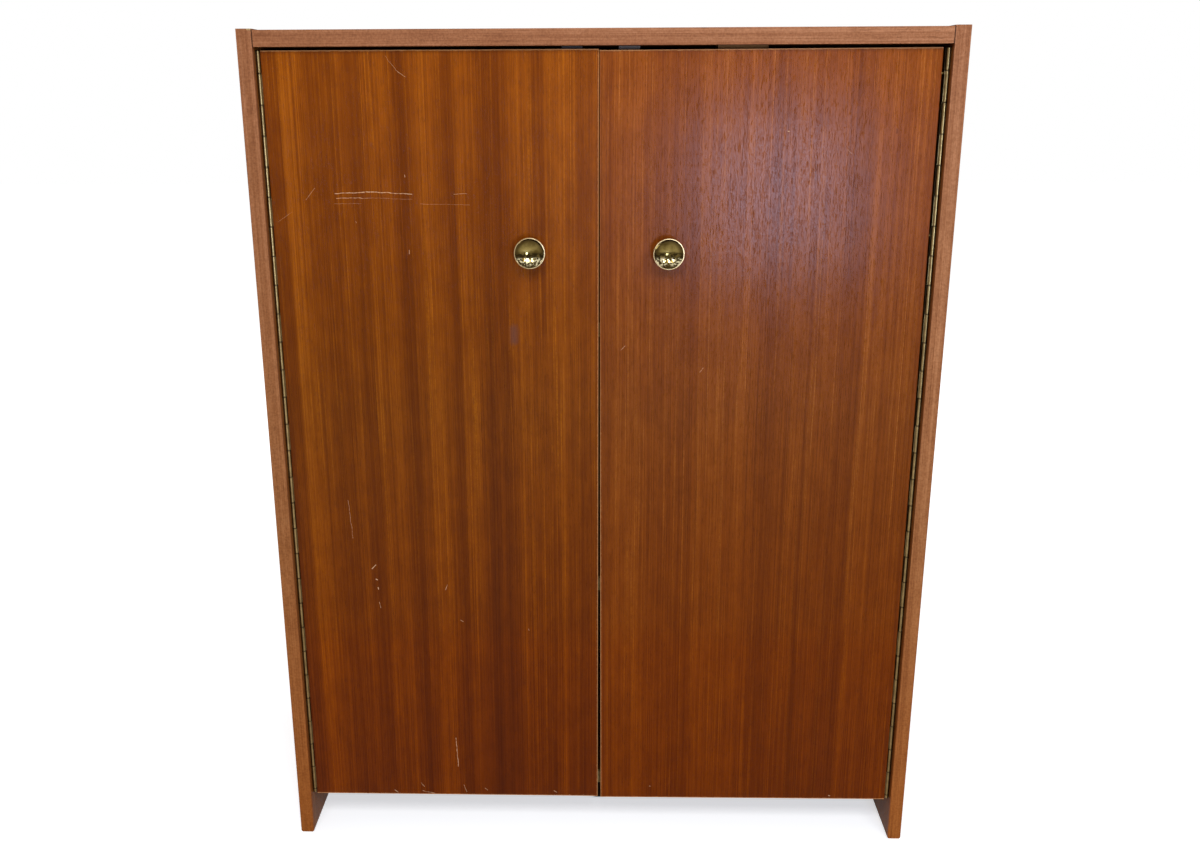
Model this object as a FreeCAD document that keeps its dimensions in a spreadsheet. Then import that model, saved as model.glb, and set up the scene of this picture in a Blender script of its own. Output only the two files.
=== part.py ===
import FreeCAD
import Part
import Sketcher
import math
import os
import re

# Two-door office cabinet: veneered boards, front lippings, two inset doors on piano hinges.
# Millimetres, +Z up, front towards -Y, origin on the floor in the middle of the whole object.
# Every size below is one cell of the sheet. All solids are bound to those cells.
# Small round pieces that repeat, and their holes, are six-sided to keep the model light, and
# the knuckles of the hinges are eight-sided.

SIZES = (
    ("cabinet_width", 900, "over both sides"),
    ("cabinet_height", 1150, "floor to the top of a side"),
    ("cabinet_depth", 430, "front edge to back edge of a side"),
    ("side_thickness", 19, "veneered board"),
    ("top_thickness", 20, "veneered board"),
    ("bottom_thickness", 19, "veneered board"),
    ("shelf_thickness", 19, "veneered board"),
    ("lipping_thickness", 6, "solid wood strip glued on each front edge"),
    ("top_drop", 1.5, "top panel below the upper ends of the sides"),
    ("bottom_clearance", 70, "floor to the underside of the bottom panel"),
    ("foot_arris", 2, "chamfer on the long edges that stand on the floor"),
    ("back_thickness", 4, "hardboard"),
    ("back_recess", 8, "back panel in from the back edges"),
    ("back_play", 0.5, "back panel to the bottom of its grooves"),
    ("back_groove", 6, "grooves for the back panel, in the sides and the top"),
    ("back_pin_diameter", 2, "panel pin"),
    ("back_pin_length", 25, "panel pin with its head"),
    ("back_pin_head", 4, "diameter of the head"),
    ("back_pin_head_height", 0.8, "head stands inside the recess"),
    ("back_pin_inset", 60, "outer panel pins from the sides"),
    ("back_pin_count", 4, "panel pins in the back edge of the bottom panel"),
    ("tongue_length", 6, "tongue on each end of the top and the bottom panel"),
    ("tongue_height", 10, "tongue, flush with the underside of its panel"),
    ("tongue_stop", 10, "back end of a tongue to the back panel"),
    ("tongue_end_play", 0.5, "tongue to the bottom of its housing"),
    ("lower_shelf_height", 386, "floor to the underside"),
    ("upper_shelf_height", 757, "floor to the underside"),
    ("shelf_end_play", 1, "shelf to each side"),
    ("shelf_setback", 2, "shelf behind the back of the doors"),
    ("shelf_back_play", 2, "shelf to the back panel"),
    ("shelf_pin_diameter", 5, "stud in its hole"),
    ("shelf_pin_grip", 9, "stud's reach into a side"),
    ("shelf_peg_diameter", 7, "peg under the shelf"),
    ("shelf_peg_length", 9, "peg under the shelf"),
    ("shelf_pin_inset", 45, "studs from the front and back edges of the shelf"),
    ("shelf_pin_play", 0.1, "round a stud, and under the shelf"),
    ("shelf_hole_depth", 10, "blind hole"),
    ("door_thickness", 19, "veneered board"),
    ("door_recess", 12, "door face behind the front edges of the sides"),
    ("door_overhang", 10.5, "door below the underside of the bottom panel"),
    ("door_top_gap", 4, "door to the top panel"),
    ("door_back_gap", 1, "door to the front edge of the bottom panel"),
    ("door_arris", 0.5, "chamfer on the upright edges of a door"),
    ("meeting_gap", 0.6, "between the doors at their upper corners"),
    ("right_door_sag", 0.2, "degrees that the right door leans on its loose hinge"),
    ("hinge_play", 0.4, "barrel to the side, and to the door edge"),
    ("leaf_thickness", 1, "piano hinge"),
    ("leaf_reach", 17, "hinge axis to the back edge of a leaf"),
    ("hinge_pin_diameter", 3.1, "piano hinge"),
    ("hinge_pin_play", 0.05, "round the hinge pin"),
    ("knuckle_pitch", 38.1, "piano hinge, cut from stock"),
    ("first_knuckle", 27, "cut knuckle at the top"),
    ("knuckle_gap", 0.4, "between neighbouring knuckles"),
    ("notch_play", 0.8, "round a knuckle in the other leaf"),
    ("hinge_low_inset", 3, "hinge above the bottom of the door"),
    ("hinge_top_inset", 0.5, "hinge below the top of the door"),
    ("hinge_screw_count", 6, "in each leaf"),
    ("hinge_screw_inset", 30, "outer screws from the ends of the hinge"),
    ("hinge_screw_offset", 9.5, "hinge axis to the line of screws"),
    ("wood_screw_diameter", 3, "shank"),
    ("wood_screw_head", 5, "countersunk head"),
    ("wood_screw_head_height", 1, "countersunk head"),
    ("wood_screw_length", 13, "with the head"),
    ("screw_play", 0.1, "round a screw or panel pin"),
    ("knob_diameter", 40, "over the rim"),
    ("knob_stand", 24, "door face to the front of the rim"),
    ("knob_height", 875, "floor to the middle of a knob"),
    ("knob_edge_distance", 88.5, "middle of a knob to the free edge of its door"),
    ("dish_depth", 8, "hollow in the front of the knob"),
    ("dish_wall", 1.6, "brass behind the middle of the dish"),
    ("dish_rim", 1.2, "flat rim round the hollow"),
    ("dish_back_diameter", 30, "flat back of the dish, round the post"),
    ("post_diameter", 10, "post between the dish and the door"),
    ("knob_screw_diameter", 4, "from the back of the door"),
    ("knob_screw_bite", 8, "screw's reach into the post"),
    ("knob_screw_head", 8.4, "pan head"),
    ("knob_screw_head_height", 2.6, "pan head"),
    ("catch_offset", 36, "middle of the cabinet to the middle of a catch"),
    ("catch_width", 26.5, "magnetic catch"),
    ("catch_depth", 20, "magnetic catch"),
    ("catch_wall", 1.6, "housing round the magnet"),
    ("magnet_width", 18, "magnet between its pole plates"),
    ("magnet_depth", 8, "magnet between its pole plates"),
    ("magnet_height", 6, "magnet between its pole plates"),
    ("magnet_stand", 0.6, "magnet in front of its housing"),
    ("magnet_gap", 0.3, "magnet to the strike plate"),
    ("magnet_play", 0.15, "magnet to the walls of its housing"),
    ("strike_thickness", 1.2, "steel plate on the back of the door"),
    ("strike_width", 24, "steel plate on the back of the door"),
    ("strike_height", 11, "steel plate on the back of the door"),
    ("strike_inset", 2, "strike plate below the top edge of the door"),
    ("stop_offset", 178, "middle of the cabinet to the middle of the stop block"),
    ("stop_width", 63, "wooden stop block"),
    ("stop_depth", 22, "wooden stop block"),
    ("stop_drop", 11, "stop block below the top edge of the door"),
    ("stop_gap", 0.3, "stop block to the back of the door"),
    ("stop_screw_inset", 14, "screws from the ends of the stop block"),
    ("round_head_diameter", 6, "head of a catch or stop screw"),
    ("round_head_height", 2, "head of a catch or stop screw"),
    ("upward_screw_grip", 10, "catch and stop screws into the top panel"),
    ("upward_screw_clearance", 0.3, "catch and stop holes round their screws"),
)

doc = FreeCAD.newDocument("office_cabinet")
sheet = doc.addObject("Spreadsheet::Sheet", "Sizes")
for row, (alias, value, note) in enumerate(SIZES, 1):
    sheet.set(f"A{row}", alias)
    sheet.set(f"B{row}", str(value))
    sheet.set(f"C{row}", note)
    sheet.setAlias(f"B{row}", alias)
doc.recompute()

# Places that several pieces share, as expressions of the sizes
INNER = "(cabinet_width / 2 - side_thickness)"
FRONT = "(-(cabinet_depth - knob_stand + door_recess) / 2)"
BACK = f"({FRONT} + cabinet_depth)"
BOARD_FRONT = f"({FRONT} + lipping_thickness)"
BACK_FACE = f"({BACK} - back_recess - back_thickness)"
BOTTOM_TOP = "(bottom_clearance + bottom_thickness)"
TOP_UNDER = "(cabinet_height - top_drop - top_thickness)"
BACK_REAR = f"({BACK_FACE} + back_thickness)"
TONGUE_BACK = f"({BACK_FACE} - tongue_stop)"
BACK_PIN_REACH = "(back_pin_length - back_pin_head_height)"

DOOR_LOW = "(bottom_clearance - door_overhang)"
DOOR_TOP = f"({TOP_UNDER} - door_top_gap)"
DOOR_TALL = f"({DOOR_TOP} - {DOOR_LOW})"
DOOR_FACE = f"({FRONT} + door_recess)"
DOOR_BACK = f"({DOOR_FACE} + door_thickness)"
BOTTOM_FRONT = f"({DOOR_BACK} + door_back_gap)"
SHELF_FRONT = f"({DOOR_BACK} + shelf_setback)"
SHELF_BACK = f"({BACK_FACE} - shelf_back_play)"

# The barrel is the leaf rolled once round the pin
BARREL = "(hinge_pin_diameter + 2 * hinge_pin_play + 2 * leaf_thickness)"
AXIS_X = f"({INNER} - hinge_play - {BARREL} / 2)"
DOOR_EDGE = f"({AXIS_X} - {BARREL} / 2 - hinge_play)"
HINGE_LOW = f"({DOOR_LOW} + hinge_low_inset)"
HINGE_TOP = f"({DOOR_TOP} - hinge_top_inset)"
HINGE_LONG = f"({HINGE_TOP} - {HINGE_LOW})"
HINGE_SCREW_LOW = f"({HINGE_LOW} + hinge_screw_inset)"
HINGE_SCREW_STEP = f"(({HINGE_LONG} - 2 * hinge_screw_inset) / (hinge_screw_count - 1))"
HINGE_SCREW_Y = f"({DOOR_FACE} + hinge_screw_offset)"

# The right door's lean closes the gap towards its upper corner, so both doors are cut to keep it
SAG_SHIFT = f"({DOOR_TALL} * sin(right_door_sag * 1 deg))"
DOOR_WIDE = f"({DOOR_EDGE} - (meeting_gap + {SAG_SHIFT}) / 2)"
KNOB_ACROSS = f"({DOOR_WIDE} - knob_edge_distance)"
KNOB_UP = f"(knob_height - {DOOR_LOW})"

STRIKE_Z = f"({DOOR_TOP} - strike_inset - strike_height / 2)"
CATCH_LOW = f"({STRIKE_Z} - magnet_height / 2 - catch_wall)"
MAGNET_FRONT = f"({DOOR_BACK} + strike_thickness + magnet_gap)"
CATCH_FRONT = f"({MAGNET_FRONT} + magnet_stand)"
CATCH_SCREW_Y = f"({MAGNET_FRONT} + (magnet_depth + magnet_stand + catch_depth) / 2)"
STOP_LOW = f"({DOOR_TOP} - stop_drop)"
STOP_FRONT = f"({DOOR_BACK} + stop_gap)"
STOP_SCREW_Y = f"({STOP_FRONT} + stop_depth / 2)"
STOP_SCREW_SPREAD = "(stop_width / 2 - stop_screw_inset)"

SIDES = (("left", -1), ("right", 1))
SMALL_SIDES = 6
KNUCKLE_SIDES = 8


def sized(text):
    """Expression with each size's name pointed at its cell."""
    return re.sub(r"[a-z]+(_[a-z]+)+", lambda name: "Sizes." + name.group(), str(text))


def number(text):
    """Present value of an expression."""
    return float(sheet.evalExpression(sized(text)))


def new_body(label):
    """Empty body whose label names its file."""
    body = doc.addObject("PartDesign::Body", label)
    body.Label = label
    return body


def datum(body, role):
    """One of the body's own origin planes or axes."""
    return next(item for item in body.Origin.OriginFeatures if item.Role == role)


def new_sketch(body, name, plane, lift, origin):
    """Sketch on an origin plane, lifted along the axis across it and moved in its own plane."""
    sketch = body.newObject("Sketcher::SketchObject", f"{body.Label}_{name}")
    sketch.AttachmentSupport = (datum(body, plane), [""])
    sketch.MapMode = "FlatFace"
    if plane == "XZ_Plane" and lift != "0":
        lift = f"-({lift})"
    for axis, text in zip("xyz", (*origin, lift)):
        if text != "0":
            sketch.setExpression(f"AttachmentOffset.Base.{axis}", sized(text))
    return sketch


def hold(sketch, kind, text, geometry, point):
    """Pin one coordinate of a point: to an axis where it is nought, else by an expression."""
    if text == "0":
        axis = -2 if kind == "DistanceX" else -1
        sketch.addConstraint(Sketcher.Constraint("PointOnObject", geometry, point, axis))
        return
    index = sketch.addConstraint(Sketcher.Constraint(kind, -1, 1, geometry, point, number(text)))
    label = f"{kind[-1].lower()}{index}"
    sketch.renameConstraint(index, label)
    sketch.setExpression(f"Constraints.{label}", sized(text))


def outline(body, name, plane, loops, lift="0", origin=("0", "0")):
    """Closed outlines of straight lines, each corner placed by two expressions."""
    sketch = new_sketch(body, name, plane, lift, origin)
    for corners in loops:
        places = [FreeCAD.Vector(number(across), number(up), 0) for across, up in corners]
        lines = [sketch.addGeometry(Part.LineSegment(start, finish), False)
                 for start, finish in zip(places, places[1:] + places[:1])]
        for line, following in zip(lines, lines[1:] + lines[:1]):
            sketch.addConstraint(Sketcher.Constraint("Coincident", line, 2, following, 1))
        for line, (across, up) in zip(lines, corners):
            hold(sketch, "DistanceX", across, line, 1)
            hold(sketch, "DistanceY", up, line, 1)
    return sketch


def box_loop(low_x, high_x, low_y, high_y):
    """Corners of a rectangle."""
    return [(low_x, low_y), (high_x, low_y), (high_x, high_y), (low_x, high_y)]


def circle_at(sketch, across, up, diameter, helper=False):
    """One circle, its centre and its diameter held by expressions."""
    centre = FreeCAD.Vector(number(across), number(up), 0)
    circle = Part.Circle(centre, FreeCAD.Vector(0, 0, 1), number(diameter) / 2)
    index = sketch.addGeometry(circle, helper)
    hold(sketch, "DistanceX", across, index, 3)
    hold(sketch, "DistanceY", up, index, 3)
    size = sketch.addConstraint(Sketcher.Constraint("Diameter", index, number(diameter)))
    sketch.renameConstraint(size, f"bore{size}")
    sketch.setExpression(f"Constraints.bore{size}", sized(diameter))
    return index


def circles(body, name, plane, centres, diameter, lift="0"):
    """Equal circles, each centre placed by two expressions."""
    sketch = new_sketch(body, name, plane, lift, ("0", "0"))
    for across, up in centres:
        circle_at(sketch, across, up, diameter)
    return sketch


def facets(body, name, plane, centres, diameter, lift="0", count=SMALL_SIDES):
    """Equal many-sided outlines with a flat on top, sized across their flats, placed as circles."""
    sketch = new_sketch(body, name, plane, lift, ("0", "0"))
    half = math.pi / count
    corner_circle = f"({diameter}) / cos({180 / count} deg)"
    for across, up in centres:
        ring = circle_at(sketch, across, up, corner_circle, True)
        radius = number(corner_circle) / 2
        angles = [math.pi / 2 + half * (2 * index - 1) for index in range(count)]
        corners = [FreeCAD.Vector(number(across) + radius * math.cos(angle),
                                  number(up) + radius * math.sin(angle), 0) for angle in angles]
        sides = [sketch.addGeometry(Part.LineSegment(start, finish), False)
                 for start, finish in zip(corners, corners[1:] + corners[:1])]
        for side, following in zip(sides, sides[1:] + sides[:1]):
            sketch.addConstraint(Sketcher.Constraint("Coincident", side, 2, following, 1))
            sketch.addConstraint(Sketcher.Constraint("PointOnObject", side, 1, ring))
        for side in sides[1:]:
            sketch.addConstraint(Sketcher.Constraint("Equal", sides[0], side))
        sketch.addConstraint(Sketcher.Constraint("Horizontal", sides[0]))
    return sketch


def extrude(kind, body, name, sketch, length, towards):
    """Pad or Pocket along the sketch's normal axis, towards +1 or -1 of it."""
    feature = body.newObject(f"PartDesign::{kind}", f"{body.Label}_{name}")
    feature.Profile = sketch
    feature.setExpression("Length", sized(length))
    support = sketch.AttachmentSupport[0][0].Role
    normal = -1 if support == "XZ_Plane" else 1
    natural = normal if kind == "Pad" else -normal
    feature.Reversed = towards != natural
    return feature


def pad(body, name, sketch, length, towards=1):
    return extrude("Pad", body, name, sketch, length, towards)


def pocket(body, name, sketch, length, towards):
    return extrude("Pocket", body, name, sketch, length, towards)


def turn(body, name, sketch, axis):
    """Revolution, a full turn about one of the sketch's own axes."""
    feature = body.newObject("PartDesign::Revolution", f"{body.Label}_{name}")
    feature.Profile = sketch
    feature.ReferenceAxis = (sketch, [axis])
    feature.Angle = 360
    return feature


def loft(kind, body, name, first, second):
    """Additive or Subtractive loft with straight sides between two sketches."""
    feature = body.newObject(f"PartDesign::{kind}Loft", f"{body.Label}_{name}")
    feature.Profile = first
    feature.Sections = [second]
    feature.Ruled = True
    return feature


def repeat(body, name, features, axis, count, step, towards=1):
    """Row of equal copies of some features along an origin axis."""
    row = body.newObject("PartDesign::LinearPattern", f"{body.Label}_{name}")
    row.Originals = features
    row.Direction = (datum(body, axis), [""])
    row.Reversed = towards < 0
    row.setExpression("Occurrences", sized(count))
    row.setExpression("Length", sized(f"({count} - 1) * {step}"))
    body.Tip = row
    return row


def spread(count, low, high, index):
    """Place number index of an even row from low to high."""
    return f"({low} + ({high} - {low}) * {index} / ({count} - 1))"


def hang(body, out):
    """Place a piece of a door in that door's frame: the lower front corner of its hinge edge."""
    body.Placement = FreeCAD.Placement(FreeCAD.Vector(), FreeCAD.Rotation(FreeCAD.Vector(0, 1, 0), 0))
    body.setExpression("Placement.Base.x", sized(f"{out} * {DOOR_EDGE}"))
    body.setExpression("Placement.Base.y", sized(DOOR_FACE))
    body.setExpression("Placement.Base.z", sized(DOOR_LOW))
    if out > 0:
        body.setExpression("Placement.Rotation.Angle", sized("-right_door_sag * 1 deg"))
    return body


def block(label, plane, loop, start, length):
    """Board or strip: one outline on a plane, padded from start along the plane's axis."""
    body = new_body(label)
    pad(body, "board", outline(body, "section", plane, [loop], start), length)
    return body


def ease_feet(body):
    """Chamfer the two long edges that stand on the floor."""
    doc.recompute()
    base = body.Tip
    names = []
    for index, edge in enumerate(base.Shape.Edges, 1):
        box = edge.BoundBox
        if box.ZMax < 0.001 and box.XLength < 0.001:
            names.append(f"Edge{index}")
    chamfer = body.newObject("PartDesign::Chamfer", f"{body.Label}_arris")
    chamfer.Base = (base, names)
    chamfer.setExpression("Size", sized("foot_arris"))


SHELF_HEIGHTS = {"lower": "lower_shelf_height", "upper": "upper_shelf_height"}


def shelf_studs(height):
    """Middles of the two studs under one end of a shelf, as depth and height."""
    level = f"({height} - shelf_peg_diameter / 2 - shelf_pin_play)"
    depths = (f"({SHELF_FRONT} + shelf_pin_inset)", f"({SHELF_BACK} - shelf_pin_inset)")
    return [(depth, level) for depth in depths]


def side_panel(side, out):
    """Upright side: housings for the top and the bottom, a groove for the back, small holes."""
    inner = f"{out} * {INNER}"
    section = box_loop(f"{out} * cabinet_width / 2", inner, BOARD_FRONT, BACK)
    body = block(f"{side}_side", "XY_Plane", section, "0", "cabinet_height")
    ease_feet(body)
    tongues = [tongue(*place) for place in TONGUES.values()]
    housings = outline(body, "housings", "YZ_Plane", tongues, inner)
    pocket(body, "housings_cut", housings, "tongue_length + tongue_end_play", out)
    slot = box_loop(inner, f"{out} * ({INNER} + back_groove)", BACK_FACE, BACK_REAR)
    groove = outline(body, "back_groove", "XY_Plane", [slot])
    pocket(body, "back_groove_cut", groove, f"{TOP_UNDER} + back_groove", 1)
    studs = [spot for height in SHELF_HEIGHTS.values() for spot in shelf_studs(height)]
    drill(body, "shelf_holes", studs, "shelf_pin_diameter + 2 * shelf_pin_play",
          "shelf_hole_depth", inner, out)
    hinge_pilots(body, HINGE_SCREW_Y, HINGE_SCREW_LOW, inner, out)


def drill(body, name, centres, diameter, depth, face, towards):
    """Blind holes along X from an upright face, one size and depth."""
    sketch = facets(body, name, "YZ_Plane", centres, diameter, face)
    return pocket(body, f"{name}_cut", sketch, depth, towards)


def hinge_pilots(body, depth, low, face, towards):
    """Row of holes for the screws of one hinge leaf."""
    hole = drill(body, "hinge_pilots", [(depth, low)], "wood_screw_diameter + 2 * screw_play",
                 "wood_screw_length - leaf_thickness + screw_play", face, towards)
    repeat(body, "hinge_pilots_row", [hole], "Z_Axis", "hinge_screw_count", HINGE_SCREW_STEP)


TONGUES = {"top": (BOARD_FRONT, TOP_UNDER),
           "bottom": (f"({BOTTOM_FRONT} + lipping_thickness)", "bottom_clearance")}


def tongue(front, low):
    """Section of a tongue, which is flush with the underside of its panel."""
    return box_loop(front, TONGUE_BACK, low, f"({low} + tongue_height)")


def cross_board(level, section):
    """Horizontal board between the sides, with a tongue on each end."""
    body = block(f"{level}_panel", "YZ_Plane", section, f"-{INNER}", f"2 * {INNER}")
    reach = f"({INNER} + tongue_length)"
    sketch = outline(body, "tongue", "YZ_Plane", [tongue(*TONGUES[level])], f"-{reach}")
    pad(body, "tongue_pad", sketch, f"2 * {reach}")
    return body


def top_panel():
    """Top between the sides, grooved for the back, drilled below for catches and stop."""
    top = f"({TOP_UNDER} + top_thickness)"
    groove = f"({TOP_UNDER} + back_groove)"
    section = [(BOARD_FRONT, TOP_UNDER), (BACK_FACE, TOP_UNDER), (BACK_FACE, groove),
               (BACK_REAR, groove), (BACK_REAR, TOP_UNDER), (BACK, TOP_UNDER), (BACK, top),
               (BOARD_FRONT, top)]
    body = cross_board("top", section)
    sketch = facets(body, "screw_pilots", "XY_Plane", catch_screw_spots() + stop_screw_spots(),
                    "wood_screw_diameter + 2 * screw_play", TOP_UNDER)
    pocket(body, "screw_pilots_cut", sketch, "upward_screw_grip + screw_play", 1)


def bottom_panel():
    """Bottom between the sides, with holes for the panel pins in its back edge."""
    front = TONGUES["bottom"][0]
    body = cross_board("bottom", box_loop(front, BACK_FACE, "bottom_clearance", BOTTOM_TOP))
    sketch = facets(body, "pin_holes", "XZ_Plane", back_pin_spots(),
                    "back_pin_diameter + 2 * screw_play", BACK_FACE)
    pocket(body, "pin_holes_cut", sketch, f"{BACK_PIN_REACH} - back_thickness + screw_play", -1)


def shelf(name, height):
    """Loose shelf on four studs."""
    low = f"-({INNER} - shelf_end_play)"
    front = f"({SHELF_FRONT} + lipping_thickness)"
    top = f"({height} + shelf_thickness)"
    long = f"2 * ({INNER} - shelf_end_play)"
    block(f"{name}_shelf", "YZ_Plane", box_loop(front, SHELF_BACK, height, top), low, long)
    strip = box_loop(SHELF_FRONT, front, height, top)
    block(f"{name}_shelf_lipping", "YZ_Plane", strip, low, long)


def lippings():
    """Solid strips on the front edges of the sides, the top and the bottom."""
    for side, out in SIDES:
        strip = box_loop(f"{out} * {INNER}", f"{out} * cabinet_width / 2", FRONT, BOARD_FRONT)
        ease_feet(block(f"{side}_side_lipping", "XY_Plane", strip, "0", "cabinet_height"))
    top = box_loop(FRONT, BOARD_FRONT, TOP_UNDER, f"({TOP_UNDER} + top_thickness)")
    block("top_lipping", "YZ_Plane", top, f"-{INNER}", f"2 * {INNER}")
    bottom = box_loop(BOTTOM_FRONT, TONGUES["bottom"][0], "bottom_clearance", BOTTOM_TOP)
    block("bottom_lipping", "YZ_Plane", bottom, f"-{INNER}", f"2 * {INNER}")


def back_pin_spots():
    """Middles of the panel pins, as width and height."""
    count = int(number("back_pin_count"))
    reach = f"({INNER} - back_pin_inset)"
    height = "(bottom_clearance + bottom_thickness / 2)"
    return [(spread(count, f"(-{reach})", reach, index), height) for index in range(count)]


def back_panel():
    """Hardboard slid up into its grooves and pinned to the bottom panel, with its pins."""
    edge = f"({INNER} + back_groove - back_play)"
    top = f"({TOP_UNDER} + back_groove - back_play)"
    body = block("back_panel", "XZ_Plane", box_loop(f"-{edge}", edge, "bottom_clearance", top),
                 BACK_FACE, "back_thickness")
    spots = back_pin_spots()
    holes = facets(body, "pin_holes", "XZ_Plane", spots, "back_pin_diameter + 2 * screw_play", BACK_REAR)
    pocket(body, "pin_holes_cut", holes, "back_thickness", -1)
    pins = new_body("back_panel_pins")
    shanks = facets(pins, "shanks", "XZ_Plane", spots, "back_pin_diameter", BACK_REAR)
    pad(pins, "shanks_pad", shanks, BACK_PIN_REACH, -1)
    heads = facets(pins, "heads", "XZ_Plane", spots, "back_pin_head", BACK_REAR)
    pad(pins, "heads_pad", heads, "back_pin_head_height", 1)


def shelf_pins(name, height):
    """Four studs of one shelf: the thin end in the side, the peg under the shelf."""
    body = new_body(f"{name}_shelf_pins")
    for side, out in SIDES:
        face = f"{out} * {INNER}"
        stud = facets(body, f"{side}_studs", "YZ_Plane", shelf_studs(height), "shelf_pin_diameter", face)
        pad(body, f"{side}_studs_pad", stud, "shelf_pin_grip", out)
        peg = facets(body, f"{side}_pegs", "YZ_Plane", shelf_studs(height), "shelf_peg_diameter", face)
        pad(body, f"{side}_pegs_pad", peg, "shelf_peg_length", -out)


def hinge_leaf(side, out, part):
    """One leaf of a piano hinge: plate, rolled barrel, its half of the knuckles, screw holes.

    The frame leaf lies on the side and has the cut knuckle at the top. The door leaf lies on
    the hinge edge of the door and has the knuckles between.
    """
    on_frame = part == "frame"
    body = new_body(f"{side}_hinge_{part}_leaf")
    axis = f"{out} * {AXIS_X}"
    seat = f"{out} * {INNER}" if on_frame else f"{out} * {DOOR_EDGE}"
    inward = -out if on_frame else out
    surface = f"({seat} + {inward} * leaf_thickness)"
    barrel = facets(body, "barrel", "XY_Plane", [(axis, DOOR_FACE)], BARREL, HINGE_LOW, KNUCKLE_SIDES)
    pad(body, "barrel_pad", barrel, HINGE_LONG)
    plate = box_loop(seat, surface, DOOR_FACE, f"({DOOR_FACE} + leaf_reach)")
    pad(body, "plate_pad", outline(body, "plate", "XY_Plane", [plate], HINGE_LOW), HINGE_LONG)
    bore = facets(body, "bore", "XY_Plane", [(axis, DOOR_FACE)],
                  "hinge_pin_diameter + 2 * hinge_pin_play", HINGE_LOW)
    pocket(body, "bore_cut", bore, HINGE_LONG, 1)
    # Each notch takes one knuckle of the other leaf
    notch_low = f"({HINGE_TOP} - first_knuckle - knuckle_gap / 2)"
    if on_frame:
        notch_low = f"({notch_low} - knuckle_pitch)"
    notch_high = f"({notch_low} + knuckle_pitch + knuckle_gap)"
    clear = f"({BARREL} / 2 + notch_play)"
    notch = box_loop(f"{out} * ({AXIS_X} - {clear})", f"{out} * ({AXIS_X} + {clear})",
                     notch_low, notch_high)
    sketch = outline(body, "notch", "XZ_Plane", [notch], f"({DOOR_FACE} + {clear})")
    cut = pocket(body, "notch_cut", sketch, f"2 * {clear}", -1)
    count = f"ceil(({notch_high} - {HINGE_LOW}) / (2 * knuckle_pitch))"
    repeat(body, "notches", [cut], "Z_Axis", count, "(2 * knuckle_pitch)", -1)
    centre = [(HINGE_SCREW_Y, HINGE_SCREW_LOW)]
    hole = countersink(body, "YZ_Plane", centre, surface, seat)
    repeat(body, "countersinks", [hole], "Z_Axis", "hinge_screw_count", HINGE_SCREW_STEP)
    screws = new_body(f"{side}_hinge_{part}_screws")
    screw = countersunk_screw(screws, "YZ_Plane", centre, surface, -inward)
    repeat(screws, "screws", screw, "Z_Axis", "hinge_screw_count", HINGE_SCREW_STEP)


def countersink(body, plane, centre, mouth, seat):
    """Tapered hole through a plate, wide at its mouth, for a countersunk screw."""
    wide = facets(body, "sink_mouth", plane, centre, "wood_screw_head + 2 * screw_play", mouth)
    narrow = facets(body, "sink_foot", plane, centre, "wood_screw_diameter + 2 * screw_play", seat)
    return loft("Subtractive", body, "countersink", wide, narrow)


def countersunk_screw(body, plane, centre, face, way):
    """Wood screw with its head flush in a face, pointing by the sign of way."""
    neck = f"({face} + {way} * wood_screw_head_height)"
    wide = facets(body, "head_face", plane, centre, "wood_screw_head", face)
    narrow = facets(body, "neck", plane, centre, "wood_screw_diameter", neck)
    head = loft("Additive", body, "head", wide, narrow)
    shank = pad(body, "shank", narrow, "wood_screw_length - wood_screw_head_height", way)
    return [head, shank]


def hinge_pin(side, out):
    """Wire that runs the whole length of the hinge."""
    body = new_body(f"{side}_hinge_pin")
    spot = [(f"{out} * {AXIS_X}", DOOR_FACE)]
    pad(body, "wire", circles(body, "section", "XY_Plane", spot, "hinge_pin_diameter", HINGE_LOW),
        HINGE_LONG)


def door(side, out):
    """Inset door, drilled for its knob, its hinge screws and its strike plate."""
    body = hang(new_body(f"{side}_door"), out)
    way = -out
    wide = f"{way} * {DOOR_WIDE}"
    near = f"{way} * door_arris"
    far = f"{way} * ({DOOR_WIDE} - door_arris)"
    section = [(near, "0"), (far, "0"), (wide, "door_arris"), (wide, "door_thickness"),
               ("0", "door_thickness"), ("0", "door_arris")]
    pad(body, "slab", outline(body, "section", "XY_Plane", [section]), DOOR_TALL)
    knob_hole = facets(body, "knob_hole", "XZ_Plane", [(f"{way} * {KNOB_ACROSS}", KNOB_UP)],
                       "knob_screw_diameter + 2 * screw_play")
    pocket(body, "knob_hole_cut", knob_hole, "door_thickness", 1)
    hinge_pilots(body, "hinge_screw_offset", f"({HINGE_SCREW_LOW} - {DOOR_LOW})", "0", way)
    strike = facets(body, "strike_pilot", "XZ_Plane", [strike_spot(way)],
                    "wood_screw_diameter + 2 * screw_play", "door_thickness")
    pilot_depth = "wood_screw_length - strike_thickness + screw_play"
    pocket(body, "strike_pilot_cut", strike, pilot_depth, -1)


def strike_spot(way):
    """Middle of the strike plate, across and up in the door's frame."""
    return f"{way} * ({DOOR_EDGE} - catch_offset)", f"({STRIKE_Z} - {DOOR_LOW})"


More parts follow.
